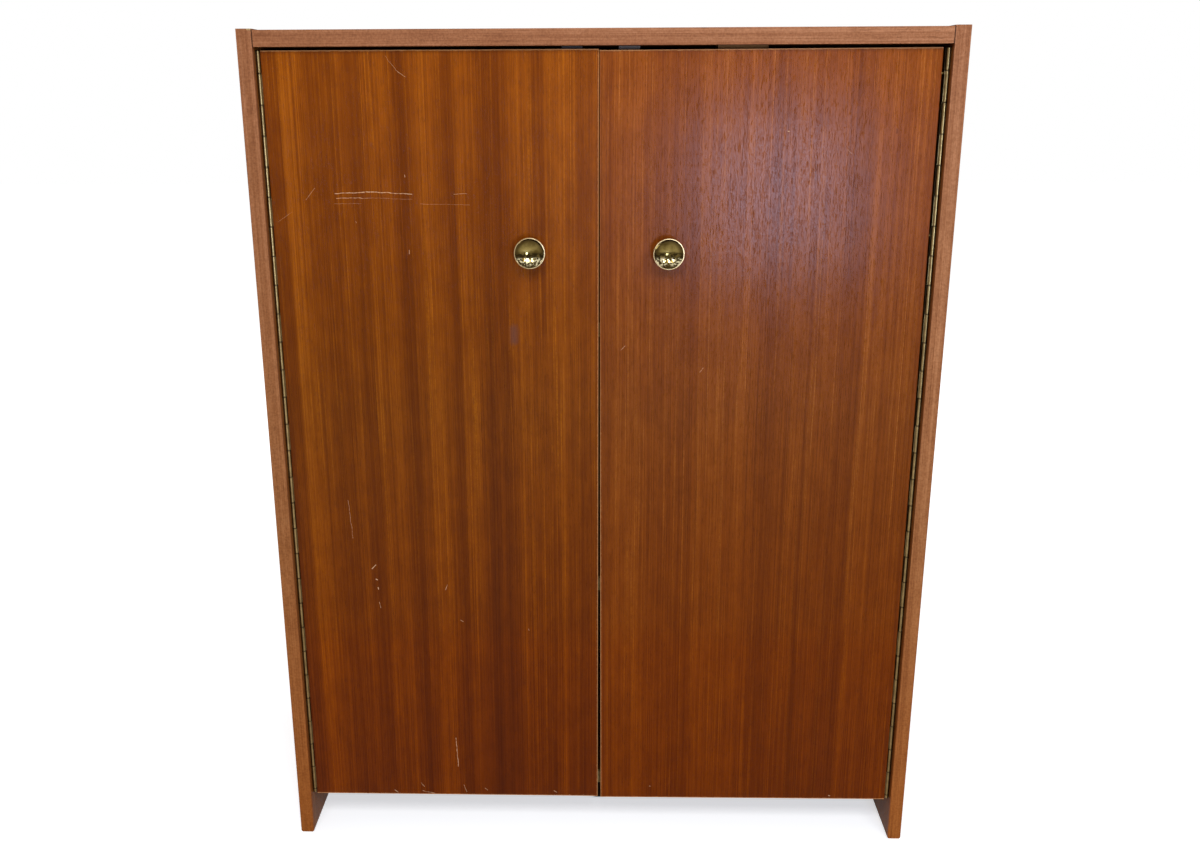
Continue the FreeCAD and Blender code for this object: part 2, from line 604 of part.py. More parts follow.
def strike_plate(side, out):
    """Steel plate on the back of the door that the magnet holds, and its screw."""
    across, up = strike_spot(-out)
    body = hang(new_body(f"{side}_strike_plate"), out)
    loop = box_loop(f"({across} - strike_width / 2)", f"({across} + strike_width / 2)",
                    f"({up} - strike_height / 2)", f"({up} + strike_height / 2)")
    rear = "(door_thickness + strike_thickness)"
    sketch = outline(body, "outline", "XZ_Plane", [loop], "door_thickness")
    pad(body, "plate", sketch, "strike_thickness")
    centre = [(across, up)]
    sink = facets(body, "sink", "XZ_Plane", centre, "wood_screw_head + 2 * screw_play", rear)
    pocket(body, "sink_cut", sink, "wood_screw_head_height", -1)
    hole = facets(body, "hole", "XZ_Plane", centre, "wood_screw_diameter + 2 * screw_play", rear)
    pocket(body, "hole_cut", hole, "strike_thickness", -1)
    screw = hang(new_body(f"{side}_strike_screw"), out)
    head = facets(screw, "head", "XZ_Plane", centre, "wood_screw_head", rear)
    pad(screw, "head_pad", head, "wood_screw_head_height", -1)
    shank = facets(screw, "shank", "XZ_Plane", centre, "wood_screw_diameter", rear)
    pad(screw, "shank_pad", shank, "wood_screw_length", -1)


def knob(side, out):
    """Dished brass knob on its post, and the screw from the back of the door."""
    across = f"{-out} * {KNOB_ACROSS}"
    behind = "(knob_stand - dish_depth - dish_wall)"
    rim = "(knob_diameter / 2)"
    lip = f"({rim} - dish_rim)"
    ball = f"(({lip} ^ 2 + dish_depth ^ 2) / (2 * dish_depth))"

    def hollow(share):
        """Point of the hollow, which follows a ball, at a share of the lip's radius."""
        radial = f"({lip} * {share})"
        return radial, f"(knob_stand - dish_depth + {ball} - sqrt({ball} ^ 2 - {radial} ^ 2))"

    floor, slope = hollow("1 / 3"), hollow("2 / 3")
    section = [("0", floor[1]), floor, slope, (lip, "knob_stand"), (rim, "knob_stand"),
               ("dish_back_diameter / 2", behind), ("0", behind)]
    profile = [(radial, f"-{stand}") for radial, stand in section]
    dish = hang(new_body(f"{side}_knob_dish"), out)
    sketch = outline(dish, "profile", "XY_Plane", [profile], KNOB_UP, (across, "0"))
    turn(dish, "dish", sketch, "V_Axis")

    centre = [(across, KNOB_UP)]
    stem = hang(new_body(f"{side}_knob_stem"), out)
    pad(stem, "post", circles(stem, "section", "XZ_Plane", centre, "post_diameter"), behind, -1)
    bore = facets(stem, "thread", "XZ_Plane", centre, "knob_screw_diameter + 2 * screw_play")
    pocket(stem, "thread_cut", bore, "knob_screw_bite + screw_play", -1)

    screw = hang(new_body(f"{side}_knob_screw"), out)
    shank = facets(screw, "shank", "XZ_Plane", centre, "knob_screw_diameter", "door_thickness")
    pad(screw, "shank_pad", shank, "door_thickness + knob_screw_bite", -1)
    head = facets(screw, "head", "XZ_Plane", centre, "knob_screw_head", "door_thickness")
    pad(screw, "head_pad", head, "knob_screw_head_height", 1)


def catch_screw_spots():
    """Middles of the catch screws, one for each catch."""
    return [(f"{out} * catch_offset", CATCH_SCREW_Y) for _, out in SIDES]


def stop_screw_spots():
    """Middles of the two screws of the stop block."""
    return [(f"(stop_offset + {way} * {STOP_SCREW_SPREAD})", STOP_SCREW_Y) for way in (-1, 1)]


def catch(side, out):
    """Magnetic catch under the top panel: housing and magnet."""
    middle = f"{out} * catch_offset"
    body = new_body(f"{side}_catch_housing")
    loop = box_loop(f"({middle} - catch_width / 2)", f"({middle} + catch_width / 2)",
                    CATCH_FRONT, f"({CATCH_FRONT} + catch_depth)")
    tall_body = f"{TOP_UNDER} - {CATCH_LOW}"
    pad(body, "housing", outline(body, "outline", "XY_Plane", [loop], CATCH_LOW), tall_body)
    wide = "(magnet_width / 2 + magnet_play)"
    tall = "(magnet_height / 2 + magnet_play)"
    mouth = box_loop(f"({middle} - {wide})", f"({middle} + {wide})",
                     f"({STRIKE_Z} - {tall})", f"({STRIKE_Z} + {tall})")
    sketch = outline(body, "mouth", "XZ_Plane", [mouth], CATCH_FRONT)
    pocket(body, "mouth_cut", sketch, "magnet_depth - magnet_stand", 1)
    hole = facets(body, "screw_hole", "XY_Plane", [(middle, CATCH_SCREW_Y)],
                  "wood_screw_diameter + 2 * upward_screw_clearance", CATCH_LOW)
    pocket(body, "screw_hole_cut", hole, tall_body, 1)
    magnet = box_loop(f"({middle} - magnet_width / 2)", f"({middle} + magnet_width / 2)",
                      MAGNET_FRONT, f"({MAGNET_FRONT} + magnet_depth)")
    magnet_low = f"({STRIKE_Z} - magnet_height / 2)"
    block(f"{side}_catch_magnet", "XY_Plane", magnet, magnet_low, "magnet_height")


def upward_screws(label, spots, low):
    """Round-headed screws up through a fitting into the top panel."""
    body = new_body(label)
    heads = facets(body, "heads", "XY_Plane", spots, "round_head_diameter", low)
    pad(body, "heads_pad", heads, "round_head_height", -1)
    shanks = facets(body, "shanks", "XY_Plane", spots, "wood_screw_diameter", low)
    pad(body, "shanks_pad", shanks, f"{TOP_UNDER} - {low} + upward_screw_grip")


def stop_block():
    """Wooden block that the right door shuts against, with its two screws."""
    low_x = "(stop_offset - stop_width / 2)"
    loop = box_loop(low_x, f"({low_x} + stop_width)", STOP_FRONT, f"({STOP_FRONT} + stop_depth)")
    body = block("door_stop_block", "XY_Plane", loop, STOP_LOW, f"{TOP_UNDER} - {STOP_LOW}")
    holes = facets(body, "screw_holes", "XY_Plane", stop_screw_spots(),
                   "wood_screw_diameter + 2 * upward_screw_clearance", STOP_LOW)
    pocket(body, "screw_holes_cut", holes, f"{TOP_UNDER} - {STOP_LOW}", 1)


def build():
    """Every piece of the cabinet."""
    for side, out in SIDES:
        side_panel(side, out)
        for part in ("frame", "door"):
            hinge_leaf(side, out, part)
        hinge_pin(side, out)
        door(side, out)
        knob(side, out)
        strike_plate(side, out)
        catch(side, out)
    top_panel()
    bottom_panel()
    lippings()
    back_panel()
    for name, height in SHELF_HEIGHTS.items():
        shelf(name, height)
        shelf_pins(name, height)
    stop_block()
    upward_screws("catch_screws", catch_screw_spots(), CATCH_LOW)
    upward_screws("door_stop_screws", stop_screw_spots(), STOP_LOW)
    doc.recompute()


def check():
    """Stop on a failed object, a loose sketch, a cut that removes nothing, or a bad solid."""
    for item in doc.Objects:
        if {"Invalid", "Error"} & set(item.State):
            raise RuntimeError(f"{item.Label} failed: {item.State}")
        if item.TypeId == "Sketcher::SketchObject" and not item.FullyConstrained:
            raise RuntimeError(f"{item.Label} isn't fully constrained")
        if item.TypeId in ("PartDesign::Pocket", "PartDesign::SubtractiveLoft"):
            if item.Shape.Volume > item.BaseFeature.Shape.Volume - 0.01:
                raise RuntimeError(f"{item.Label} cuts nothing")
        if item.TypeId == "PartDesign::Body":
            if item.Shape.isNull() or not item.Shape.isValid() or not item.Shape.Solids:
                raise RuntimeError(f"{item.Label} has no valid solid")


def write():
    """One file for each piece, named after its label."""
    os.makedirs("parts", exist_ok=True)
    for item in doc.Objects:
        if item.TypeId == "PartDesign::Body":
            item.Shape.exportStep(f"parts/{item.Label}.step")


build()
check()
write()
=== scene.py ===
import math

import bmesh
import bpy
from mathutils import Matrix, Vector


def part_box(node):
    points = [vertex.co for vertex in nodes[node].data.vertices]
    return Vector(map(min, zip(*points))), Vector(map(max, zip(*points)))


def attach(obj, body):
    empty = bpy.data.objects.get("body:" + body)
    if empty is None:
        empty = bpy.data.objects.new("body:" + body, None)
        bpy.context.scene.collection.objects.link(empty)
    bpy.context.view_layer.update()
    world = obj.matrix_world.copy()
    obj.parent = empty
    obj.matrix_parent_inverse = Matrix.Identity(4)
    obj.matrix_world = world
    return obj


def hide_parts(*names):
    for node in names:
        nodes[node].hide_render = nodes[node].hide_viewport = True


# Looks of the two-door office cabinet. Metres, in the part's own frame: +Z up, front towards -Y.
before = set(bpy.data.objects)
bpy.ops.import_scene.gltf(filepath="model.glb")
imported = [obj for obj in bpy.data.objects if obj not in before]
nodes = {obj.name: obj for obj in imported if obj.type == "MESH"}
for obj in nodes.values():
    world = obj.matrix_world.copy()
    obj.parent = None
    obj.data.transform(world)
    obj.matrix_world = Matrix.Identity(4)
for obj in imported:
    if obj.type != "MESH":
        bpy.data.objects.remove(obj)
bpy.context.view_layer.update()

SIDES = (("left", -1), ("right", 1))

# Sizes that the pieces made here share with the part
DOOR_SAG = math.radians(0.2)
HINGE_PIN_PLAY = 0.00005
LEAF_THICKNESS = 0.001
LEAF_REACH = 0.017
KNUCKLE_PITCH = 0.0381
FIRST_KNUCKLE = 0.027
KNUCKLE_GAP = 0.0004
NOTCH_PLAY = 0.0008
HINGE_SCREW_OFFSET = 0.0095
HINGE_SCREW_INSET = 0.030
HINGE_SCREW_COUNT = 6
SCREW_HEAD = 0.005
SCREW_HEAD_HEIGHT = 0.001
SCREW_SHANK = 0.003
SCREW_PLAY = 0.0001
DISH_DEPTH = 0.008
DISH_RIM = 0.0012
DISH_BACK = 0.015

# Sizes of details that only the pieces made here have
KNUCKLE_EASE = 0.00025
HOLE_FIELD = 0.0035          # half of the square of plate round a screw hole
SLOT_HALF_WIDTH = 0.0004
SLOT_DEPTH = 0.0005
SCREW_POINT = 0.0015
RIM_ROUND = 0.0004
POST_WAIST = 0.82            # share of the post's radius

# Steps round a full turn, and rings of the bowl
DISH_STEPS = 96
BOWL_RINGS = 24
POST_STEPS = 48
KNUCKLE_STEPS = 40
HOLE_STEPS = 32
HEAD_STEPS = 12              # on each side of the slot

door_low, door_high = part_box("left_door")
DOOR_EDGE = -door_low.x
DOOR_WIDE = door_high.x - door_low.x
DOOR_LOW = door_low.z
DOOR_TALL = door_high.z - door_low.z

knob_low, knob_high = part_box("left_knob_dish")
KNOB_LEVEL = (knob_low.z + knob_high.z) / 2
KNOB_FRONT = knob_low.y


def rgb(red, green, blue):
    """Linear colour with alpha from 0 to 255 screen values."""
    def linear(value):
        value /= 255
        return value / 12.92 if value <= 0.04045 else ((value + 0.055) / 1.055) ** 2.4
    return (linear(red), linear(green), linear(blue), 1.0)


# Finish
DOOR_GLOSS = 0.055
DOOR_ROUGHNESS = 0.16
BOARD_GLOSS = 0.06
PLAIN_GLOSS = 0.35
GOLD_SHARE = 0.46
DOOR_PORE_SHARE, BOARD_PORE_SHARE = 0.38, 0.45
DOOR_PORE, BOARD_PORE = rgb(74, 30, 3), rgb(80, 42, 22)
STAIN_SHARE = 0.42
WORN_ROUGHNESS = 0.3
FRONT_DEPTH = 0.0009         # how far behind its face a door still shows wear
CHIP_LENGTH, CHIP_HALF_WIDTH = 0.0045, 0.0022
HINGE_PAINTED_SHADE_SHARE = 0.65
FLOOR_HALF = 12.0
FLOOR_BOUNCE = (0.46, 0.36, 0.26, 1.0)
FLOOR_PAINTED_SHADOW = (0.05, 0.024, 0.010, 1.0)
FLOOR_WHITE_NEAR, FLOOR_WHITE_FAR = 0.58, 0.80

# Tone across each door, from its left edge to its right edge, as the veneer's light and dark bands
BANDS = {
    "left": ((0.0, 0.86), (0.03, 0.92), (0.065, 1.14), (0.10, 1.04), (0.18, 0.91), (0.225, 0.97),
             (0.28, 0.90), (0.31, 1.03), (0.36, 1.06), (0.405, 0.84), (0.44, 1.02), (0.48, 1.09),
             (0.55, 0.90), (0.59, 1.03), (0.625, 0.97), (0.66, 0.86), (0.70, 0.91), (0.76, 1.07),
             (0.83, 0.95), (0.89, 1.06), (0.95, 0.94), (1.0, 1.03)),
    "right": ((0.0, 0.98), (0.10, 1.00), (0.20, 0.98), (0.26, 0.90), (0.29, 0.92), (0.33, 1.02),
              (0.40, 0.97), (0.45, 1.03), (0.55, 0.91), (0.61, 0.99), (0.66, 0.93), (0.72, 1.00),
              (0.765, 0.90), (0.79, 0.92), (0.84, 1.04), (0.90, 0.98), (0.95, 1.04), (1.0, 0.97)),
}
BAND_DEPTH = 0.95
LOW_PAINTED_SHADE = 0.10
DOOR_STOPS = {
    "left": [(0.15, rgb(92, 39, 3)), (0.38, rgb(117, 54, 5)), (0.50, rgb(133, 65, 7)),
             (0.62, rgb(152, 78, 11)), (0.85, rgb(184, 104, 26))],
    "right": [(0.15, rgb(98, 44, 9)), (0.38, rgb(124, 59, 13)), (0.50, rgb(140, 70, 17)),
              (0.62, rgb(156, 82, 24)), (0.85, rgb(188, 110, 46))],
}
GOLD = {"left": rgb(204, 118, 22), "right": rgb(212, 130, 54)}
LIPPING_STOPS = [(0.2, rgb(116, 68, 41)), (0.5, rgb(151, 99, 65)), (0.8, rgb(182, 128, 92))]
# Left strip: the lipping's stops made darker, as painted shade on the less lit side
LEFT_SHADED_STOPS = [(0.2, rgb(109, 62, 36)), (0.5, rgb(143, 92, 58)), (0.8, rgb(174, 120, 84))]
# Inner lippings: pale wood, made paler still as painted light on the bottom lipping, lit only
# through the doors' gap
PALE_LIT_STOPS = [(0.2, rgb(176, 140, 86)), (0.5, rgb(204, 170, 110)), (0.8, rgb(226, 196, 138))]
CARCASS_STOPS = [(0.25, rgb(92, 46, 14)), (0.5, rgb(126, 70, 24)), (0.75, rgb(156, 96, 40))]
BLOCK_STOPS = [(0.3, rgb(112, 70, 34)), (0.7, rgb(146, 98, 54))]

# Painted shade: the doors and side strips grow darker and deeper in tone towards the bottom.
# Share of the height, then tint.
PAINTED_SHADE_TALL = 1.15
DOOR_PAINTED_SHADE = [(0.04, (0.64, 0.45, 0.03, 1.0)), (0.215, (0.675, 0.515, 0.10, 1.0)),
             (0.25, (0.665, 0.55, 0.215, 1.0)), (0.52, (0.69, 0.68, 0.60, 1.0)),
             (0.74, (0.77, 0.72, 0.60, 1.0)), (0.96, (0.97, 0.93, 0.80, 1.0))]
STRIP_PAINTED_SHADE = [(0.04, (0.94, 0.65, 0.26, 1.0)), (0.44, (0.93, 0.82, 0.58, 1.0)),
              (1.0, (0.97, 0.90, 0.84, 1.0))]

# Scratches and dents in the front of each door: start and finish as X and Z, half width, strength
MARKS = {
    "left": (
        ((-0.3417, 0.9490), (-0.3190, 0.9498), 0.0006, 0.90),
        ((-0.3190, 0.9498), (-0.2938, 0.9510), 0.0007, 0.95),
        ((-0.2938, 0.9510), (-0.2680, 0.9493), 0.0007, 0.90),
        ((-0.2680, 0.9493), (-0.2423, 0.9480), 0.0006, 0.85),
        ((-0.3400, 0.9431), (-0.2990, 0.9433), 0.0005, 0.80),
        ((-0.2990, 0.9433), (-0.2425, 0.9415), 0.0003, 0.35),
        ((-0.3440, 0.9360), (-0.3080, 0.9362), 0.0003, 0.35),
        ((-0.1880, 0.9482), (-0.1713, 0.9485), 0.0004, 0.55),
        ((-0.2325, 0.9355), (-0.1679, 0.9344), 0.0003, 0.35),
        ((-0.3804, 0.9407), (-0.3680, 0.9556), 0.0004, 0.45),
        ((-0.4186, 0.9128), (-0.3993, 0.9256), 0.0004, 0.30),
        ((-0.2685, 1.1173), (-0.2556, 1.1006), 0.0003, 0.45),
        ((-0.2556, 1.1006), (-0.2447, 1.0922), 0.0004, 0.55),
        ((-0.3502, 0.5295), (-0.3466, 0.4727), 0.0005, 0.45),
        ((-0.3223, 0.4260), (-0.3163, 0.4322), 0.0009, 0.85),
        ((-0.3171, 0.4101), (-0.3152, 0.4097), 0.0013, 0.95),
        ((-0.3155, 0.3969), (-0.3149, 0.3944), 0.0010, 0.90),
        ((-0.3140, 0.3749), (-0.3133, 0.3654), 0.0005, 0.80),
        ((-0.2189, 0.3943), (-0.2159, 0.4021), 0.0006, 0.65),
        ((-0.1991, 0.3474), (-0.1953, 0.3449), 0.0008, 0.40),
        ((-0.1017, 0.3344), (-0.1009, 0.3323), 0.0006, 0.60),
        ((-0.2511, 0.9720), (-0.2506, 0.9694), 0.0005, 0.75),
        ((-0.2495, 0.8759), (-0.2491, 0.8713), 0.0006, 0.70),
        ((-0.3171, 0.9133), (-0.3165, 0.9114), 0.0005, 0.60),
        ((-0.3076, 0.0656), (-0.3029, 0.0620), 0.0009, 0.75),
        ((-0.2667, 0.0790), (-0.2622, 0.0722), 0.0007, 0.60),
        ((-0.2653, 0.0652), (-0.2473, 0.0609), 0.0008, 0.60),
        ((-0.2022, 0.0762), (-0.1990, 0.0638), 0.0006, 0.65),
        ((-0.1707, 0.0710), (-0.1675, 0.0674), 0.0007, 0.60),
        ((-0.0674, 0.0677), (-0.0634, 0.0650), 0.0009, 0.70),
        ((-0.2120, 0.1556), (-0.2098, 0.1083), 0.0007, 0.85),
    ),
    "right": (
        ((0.2360, 1.0252), (0.2374, 1.0252), 0.0009, 0.80),
        ((0.3420, 0.0650), (0.3440, 0.0645), 0.0010, 0.80),
        ((0.0755, 0.0776), (0.0768, 0.0776), 0.0009, 0.80),
        ((0.0278, 0.7434), (0.0331, 0.7489), 0.0005, 0.60),
        ((0.1335, 0.7136), (0.1374, 0.7190), 0.0005, 0.55),
        ((0.3120, 1.0020), (0.3170, 0.9970), 0.0004, 0.45),
    ),
}
STAINS = {"left": ((-0.1144, 0.7636), 0.0085, rgb(74, 58, 58)),
          "right": ((0.3716, 1.0247), 0.0022, rgb(60, 30, 24))}
MEETING_WEAR = {"left": 0.42, "right": 0.10}
GRAIN_SEED = {"left": 3.1, "right": 11.7}
# Pale arrises: wear, and a painted highlight on the lit ends
WORN_AND_HIGHLIT_WOOD = rgb(212, 150, 92)
CHIPPED_WOOD = rgb(172, 142, 96)
SCRATCHED_WOOD = rgb(234, 186, 136)
JOINT_PAINTED_SHADE = rgb(48, 24, 14)

# Camera where the photograph's straight edges put it: yaw, pitch and roll in degrees
CAMERA_TURN = (-1.499, 16.463, -0.248)
CAMERA_PLACE = (0.00424, -1.6947, 1.07904)
CAMERA_LENS, SENSOR_WIDTH = 34.5, 36
CAMERA_SHIFT = (0.02153, 0.00131)

# Light: strength of the world, and of each lamp in watts, with its colour
WORLD_STRENGTH = 0.27
KEY_LIGHT = (15, (0.98, 0.99, 1.0))
FILL_LIGHT = (24, (1.0, 0.98, 0.95))
WINDOW_LIGHT = (72, (0.50, 0.66, 1.0))


class Nodes:
    """Node tree and short ways to add to it."""

    def __init__(self, tree):
        self.tree = tree

    def add(self, kind, inputs=(), **settings):
        node = self.tree.nodes.new(kind)
        for key, value in settings.items():
            setattr(node, key, value)
        for key, value in dict(inputs).items():
            self.set(node.inputs[key], value)
        return node

    def set(self, socket, value):
        """Link a socket to another one, or give it a value."""
        if isinstance(value, bpy.types.NodeSocket):
            self.tree.links.new(value, socket)
        else:
            socket.default_value = value

    def math(self, operation, first, second=0.0, third=0.0):
        node = self.add("ShaderNodeMath", {0: first, 1: second, 2: third}, operation=operation)
        return node.outputs[0]

    def times(self, first, *others):
        """Product of two or more values."""
        for other in others:
            first = self.math("MULTIPLY", first, other)
        return first

    def vector(self, operation, first, second):
        node = self.add("ShaderNodeVectorMath", {0: first, 1: second}, operation=operation)
        return node.outputs[0]

    def measure(self, operation, first, second=(0, 0, 0)):
        """Dot product or length, as a value."""
        node = self.add("ShaderNodeVectorMath", {0: first, 1: second}, operation=operation)
        return node.outputs["Value"]

    def split(self, vector):
        return self.add("ShaderNodeSeparateXYZ", {0: vector}).outputs[:3]

    def join(self, x, y, z):
        return self.add("ShaderNodeCombineXYZ", {0: x, 1: y, 2: z}).outputs[0]

    def noise(self, vector, scale=1.0, detail=2.0, roughness=0.5):
        return self.add("ShaderNodeTexNoise", {"Vector": vector, "Scale": scale, "Detail": detail,
                                               "Roughness": roughness}).outputs["Fac"]

    def smooth(self, value, low, high, out_low=0.0, out_high=1.0):
        """Smooth step from one value to another."""
        node = self.add("ShaderNodeMapRange", {"Value": value, "From Min": low, "From Max": high,
                                               "To Min": out_low, "To Max": out_high},
                        interpolation_type="SMOOTHSTEP")
        return node.outputs[0]

    def ramp(self, value, stops, interpolation="LINEAR"):
        node = self.add("ShaderNodeValToRGB", {0: value})
        ramp = node.color_ramp
        ramp.interpolation = interpolation
        while len(ramp.elements) < len(stops):
            ramp.elements.new(1.0)
        for element, (place, colour) in zip(ramp.elements, sorted(stops, key=lambda stop: stop[0])):
            element.position = place
            element.color = colour if isinstance(colour, tuple) else (colour, colour, colour, 1.0)
        return node.outputs[0]

    def mix(self, factor, first, second, blend="MIX"):
        node = self.add("ShaderNodeMix", data_type="RGBA", blend_type=blend)
        for index, value in ((0, factor), (6, first), (7, second)):
            self.set(node.inputs[index], value)
        return node.outputs[2]

    def seen(self):
        """1 to the camera, in gloss and through glass, 0 to the light that falls on surfaces."""
        path = self.add("ShaderNodeLightPath").outputs
        seen = self.math("MAXIMUM", path["Is Camera Ray"], path["Is Glossy Ray"])
        return self.math("MAXIMUM", seen, path["Is Transmission Ray"])


class Shade(Nodes):
    """Nodes of one material, with uniform settings of its shader."""

    def __init__(self, name, **settings):
        self.material = bpy.data.materials.new(name)
        self.material.use_nodes = True
        super().__init__(self.material.node_tree)
        self.shader = self.tree.nodes["Principled BSDF"]
        for key, value in settings.items():
            self.shader.inputs[key].default_value = value
        self.place = self.add("ShaderNodeTexCoord").outputs["Object"]

    def bump(self, height, distance, strength):
        node = self.add("ShaderNodeBump", {"Height": height, "Distance": distance,
                                           "Strength": strength})
        self.set(self.shader.inputs["Normal"], node.outputs[0])

    def link(self, colour, roughness=None):
        self.set(self.shader.inputs["Base Color"], colour)
        if roughness is not None:
            self.set(self.shader.inputs["Roughness"], roughness)


def line_group():
    """Node group: 1 on a line from start to finish, and 0 from the half width outwards."""
    tree = bpy.data.node_groups.new("line", "ShaderNodeTree")
    for label, kind in (("Place", "NodeSocketVector"), ("Start", "NodeSocketVector"),
                        ("Finish", "NodeSocketVector"), ("Half width", "NodeSocketFloat")):
        tree.interface.new_socket(label, in_out="INPUT", socket_type=kind)
    tree.interface.new_socket("Mask", in_out="OUTPUT", socket_type="NodeSocketFloat")
    group = Nodes(tree)
    inputs = group.add("NodeGroupInput").outputs
    span = group.vector("SUBTRACT", inputs["Finish"], inputs["Start"])
    offset = group.vector("SUBTRACT", inputs["Place"], inputs["Start"])
    share = group.add("ShaderNodeMath", {0: group.measure("DOT_PRODUCT", offset, span),
                                         1: group.measure("DOT_PRODUCT", span, span)},
                      operation="DIVIDE", use_clamp=True)
    nearest = group.add("ShaderNodeVectorMath", {0: span, "Scale": share.outputs[0]},
                        operation="SCALE")
    distance = group.measure("LENGTH", group.vector("SUBTRACT", offset, nearest.outputs[0]))
    group.add("NodeGroupOutput", {"Mask": group.smooth(distance, inputs["Half width"], 0.0)})
    return tree


LINE_GROUP = line_group()


def near_line(shade, place, start, finish, half_width):
    """Mask of the places near a line."""
    return shade.add("ShaderNodeGroup", {"Place": place, "Start": start, "Finish": finish,
                                         "Half width": half_width}, node_tree=LINE_GROUP).outputs[0]


def grain(shade, place, along, seed):
    """Layers of wood grain along an axis: broad bands, streaks, fine lines, pores and flecks."""
    def stretched(vector, across, length):
        scale = [across] * 3
        scale["XYZ".index(along)] = length
        return shade.vector("MULTIPLY", vector, tuple(scale))

    def layer(across, length, detail=3.0, roughness=0.6, low=0.32, high=0.68):
        """Noise drawn out along the grain, spread over 0 to 1."""
        noise = shade.noise(stretched(place, across, length), 1.0, detail, roughness)
        return shade.smooth(noise, low, high)

    place = shade.vector("ADD", place, (seed, seed * 0.7, seed * 0.3))
    drift = shade.noise(stretched(place, 5, 1.3))
    wander = shade.math("MULTIPLY_ADD", drift, 0.008, -0.004)
    place = shade.vector("ADD", place, shade.join(wander, wander, wander))
    return {
        "broad": layer(22, 0.25, 2.0, 0.5),
        "streaks": layer(165, 0.5),
        "lines": layer(760, 2.4, 3.0, 0.65),
        "gold": layer(460, 0.9, 3.0, 0.75, 0.54, 0.65),
        "pores": layer(1700, 95, 2.0, 0.6, 0.56, 0.70),
        "flecks": layer(300, 380, 2.0),
        "mottle": layer(60, 26, 3.0, 0.55),
        "wander": wander,
    }


def tone_of(shade, tone, layers, depths):
    """Tone with each layer laid over it, as a change to both sides."""
    for name, depth in depths:
        tone = shade.math("ADD", tone, shade.math("MULTIPLY_ADD", layers[name], depth, -depth / 2))
    return tone


def veneer(shade, side, out, x, z, layers):
    """Colour of a door's clean veneer: bands across it, grain along it, and painted shade towards
    the bottom.
    """
    start = 0.0 if out < 0 else -DOOR_WIDE
    wavy = shade.math("ADD", x, layers["wander"])
    across = shade.math("DIVIDE", shade.math("SUBTRACT", wavy, start), DOOR_WIDE)
    bands = [(at, (value - 1) * BAND_DEPTH + 0.5) for at, value in BANDS[side]]
    tone = shade.ramp(across, bands, "EASE")
    tone = tone_of(shade, tone, layers,
                   (("broad", 0.05), ("streaks", 0.10), ("lines", 0.15), ("mottle", 0.07)))
    # Painted shade: the lower part is darker, more so across the door towards one edge
    height = shade.math("DIVIDE", z, PAINTED_SHADE_TALL)
    low = shade.smooth(height, 0.7, 0.0, 0.0, LOW_PAINTED_SHADE)
    tone = shade.math("SUBTRACT", tone, shade.times(low, across))
    colour = shade.ramp(tone, DOOR_STOPS[side])

    # Gold lines in the light bands, broken across the grain
    broken = shade.math("MULTIPLY_ADD", layers["flecks"], 0.6, 0.4)
    light = shade.smooth(tone, 0.40, 0.60, 0.30, 1.0)
    gold = shade.times(layers["gold"], broken, light, GOLD_SHARE)
    colour = shade.mix(gold, colour, GOLD[side])
    colour = shade.mix(shade.times(layers["pores"], DOOR_PORE_SHARE), colour, DOOR_PORE)
    # Painted shade: darker and deeper in tone towards the bottom
    return shade.mix(1.0, colour, shade.ramp(height, DOOR_PAINTED_SHADE), "MULTIPLY")


def worn_and_highlit_edges(shade, side, local, x, z):
    """Mask of the pale arrises: both ends, with wear and a painted highlight, and the edge where
    the doors meet, rubbed.
    """
    ragged = shade.math("MULTIPLY_ADD", shade.noise(local, 240.0, 3.0, 0.6), 0.0024, -0.0012)
    ends = shade.math("MINIMUM", z, shade.math("SUBTRACT", DOOR_TALL, z))
    meeting = shade.math("SUBTRACT", DOOR_WIDE, shade.math("ABSOLUTE", x))
    ends, meeting = [shade.smooth(shade.math("ADD", edge, ragged), 0.0016, 0.0008)
                     for edge in (ends, meeting)]
    rubbed = shade.smooth(z, 0.80, 0.45, MEETING_WEAR[side], 0.48)
    # Both ends: wear and a painted highlight; the meeting edge: wear
    return shade.math("MAXIMUM", shade.times(ends, 0.62), shade.times(meeting, rubbed))


def scratches(shade, side, local, point):
    """Mask of a door's scratches and dents, with small gaps in them."""
    found = 0.0
    for (x0, z0), (x1, z1), half_width, strength in MARKS[side]:
        mark = shade.times(near_line(shade, point, (x0, 0, z0), (x1, 0, z1), half_width), strength)
        found = shade.math("MAXIMUM", found, mark)
    return shade.times(found, shade.smooth(shade.noise(local, 330.0), 0.36, 0.55, 0.35, 1.0))


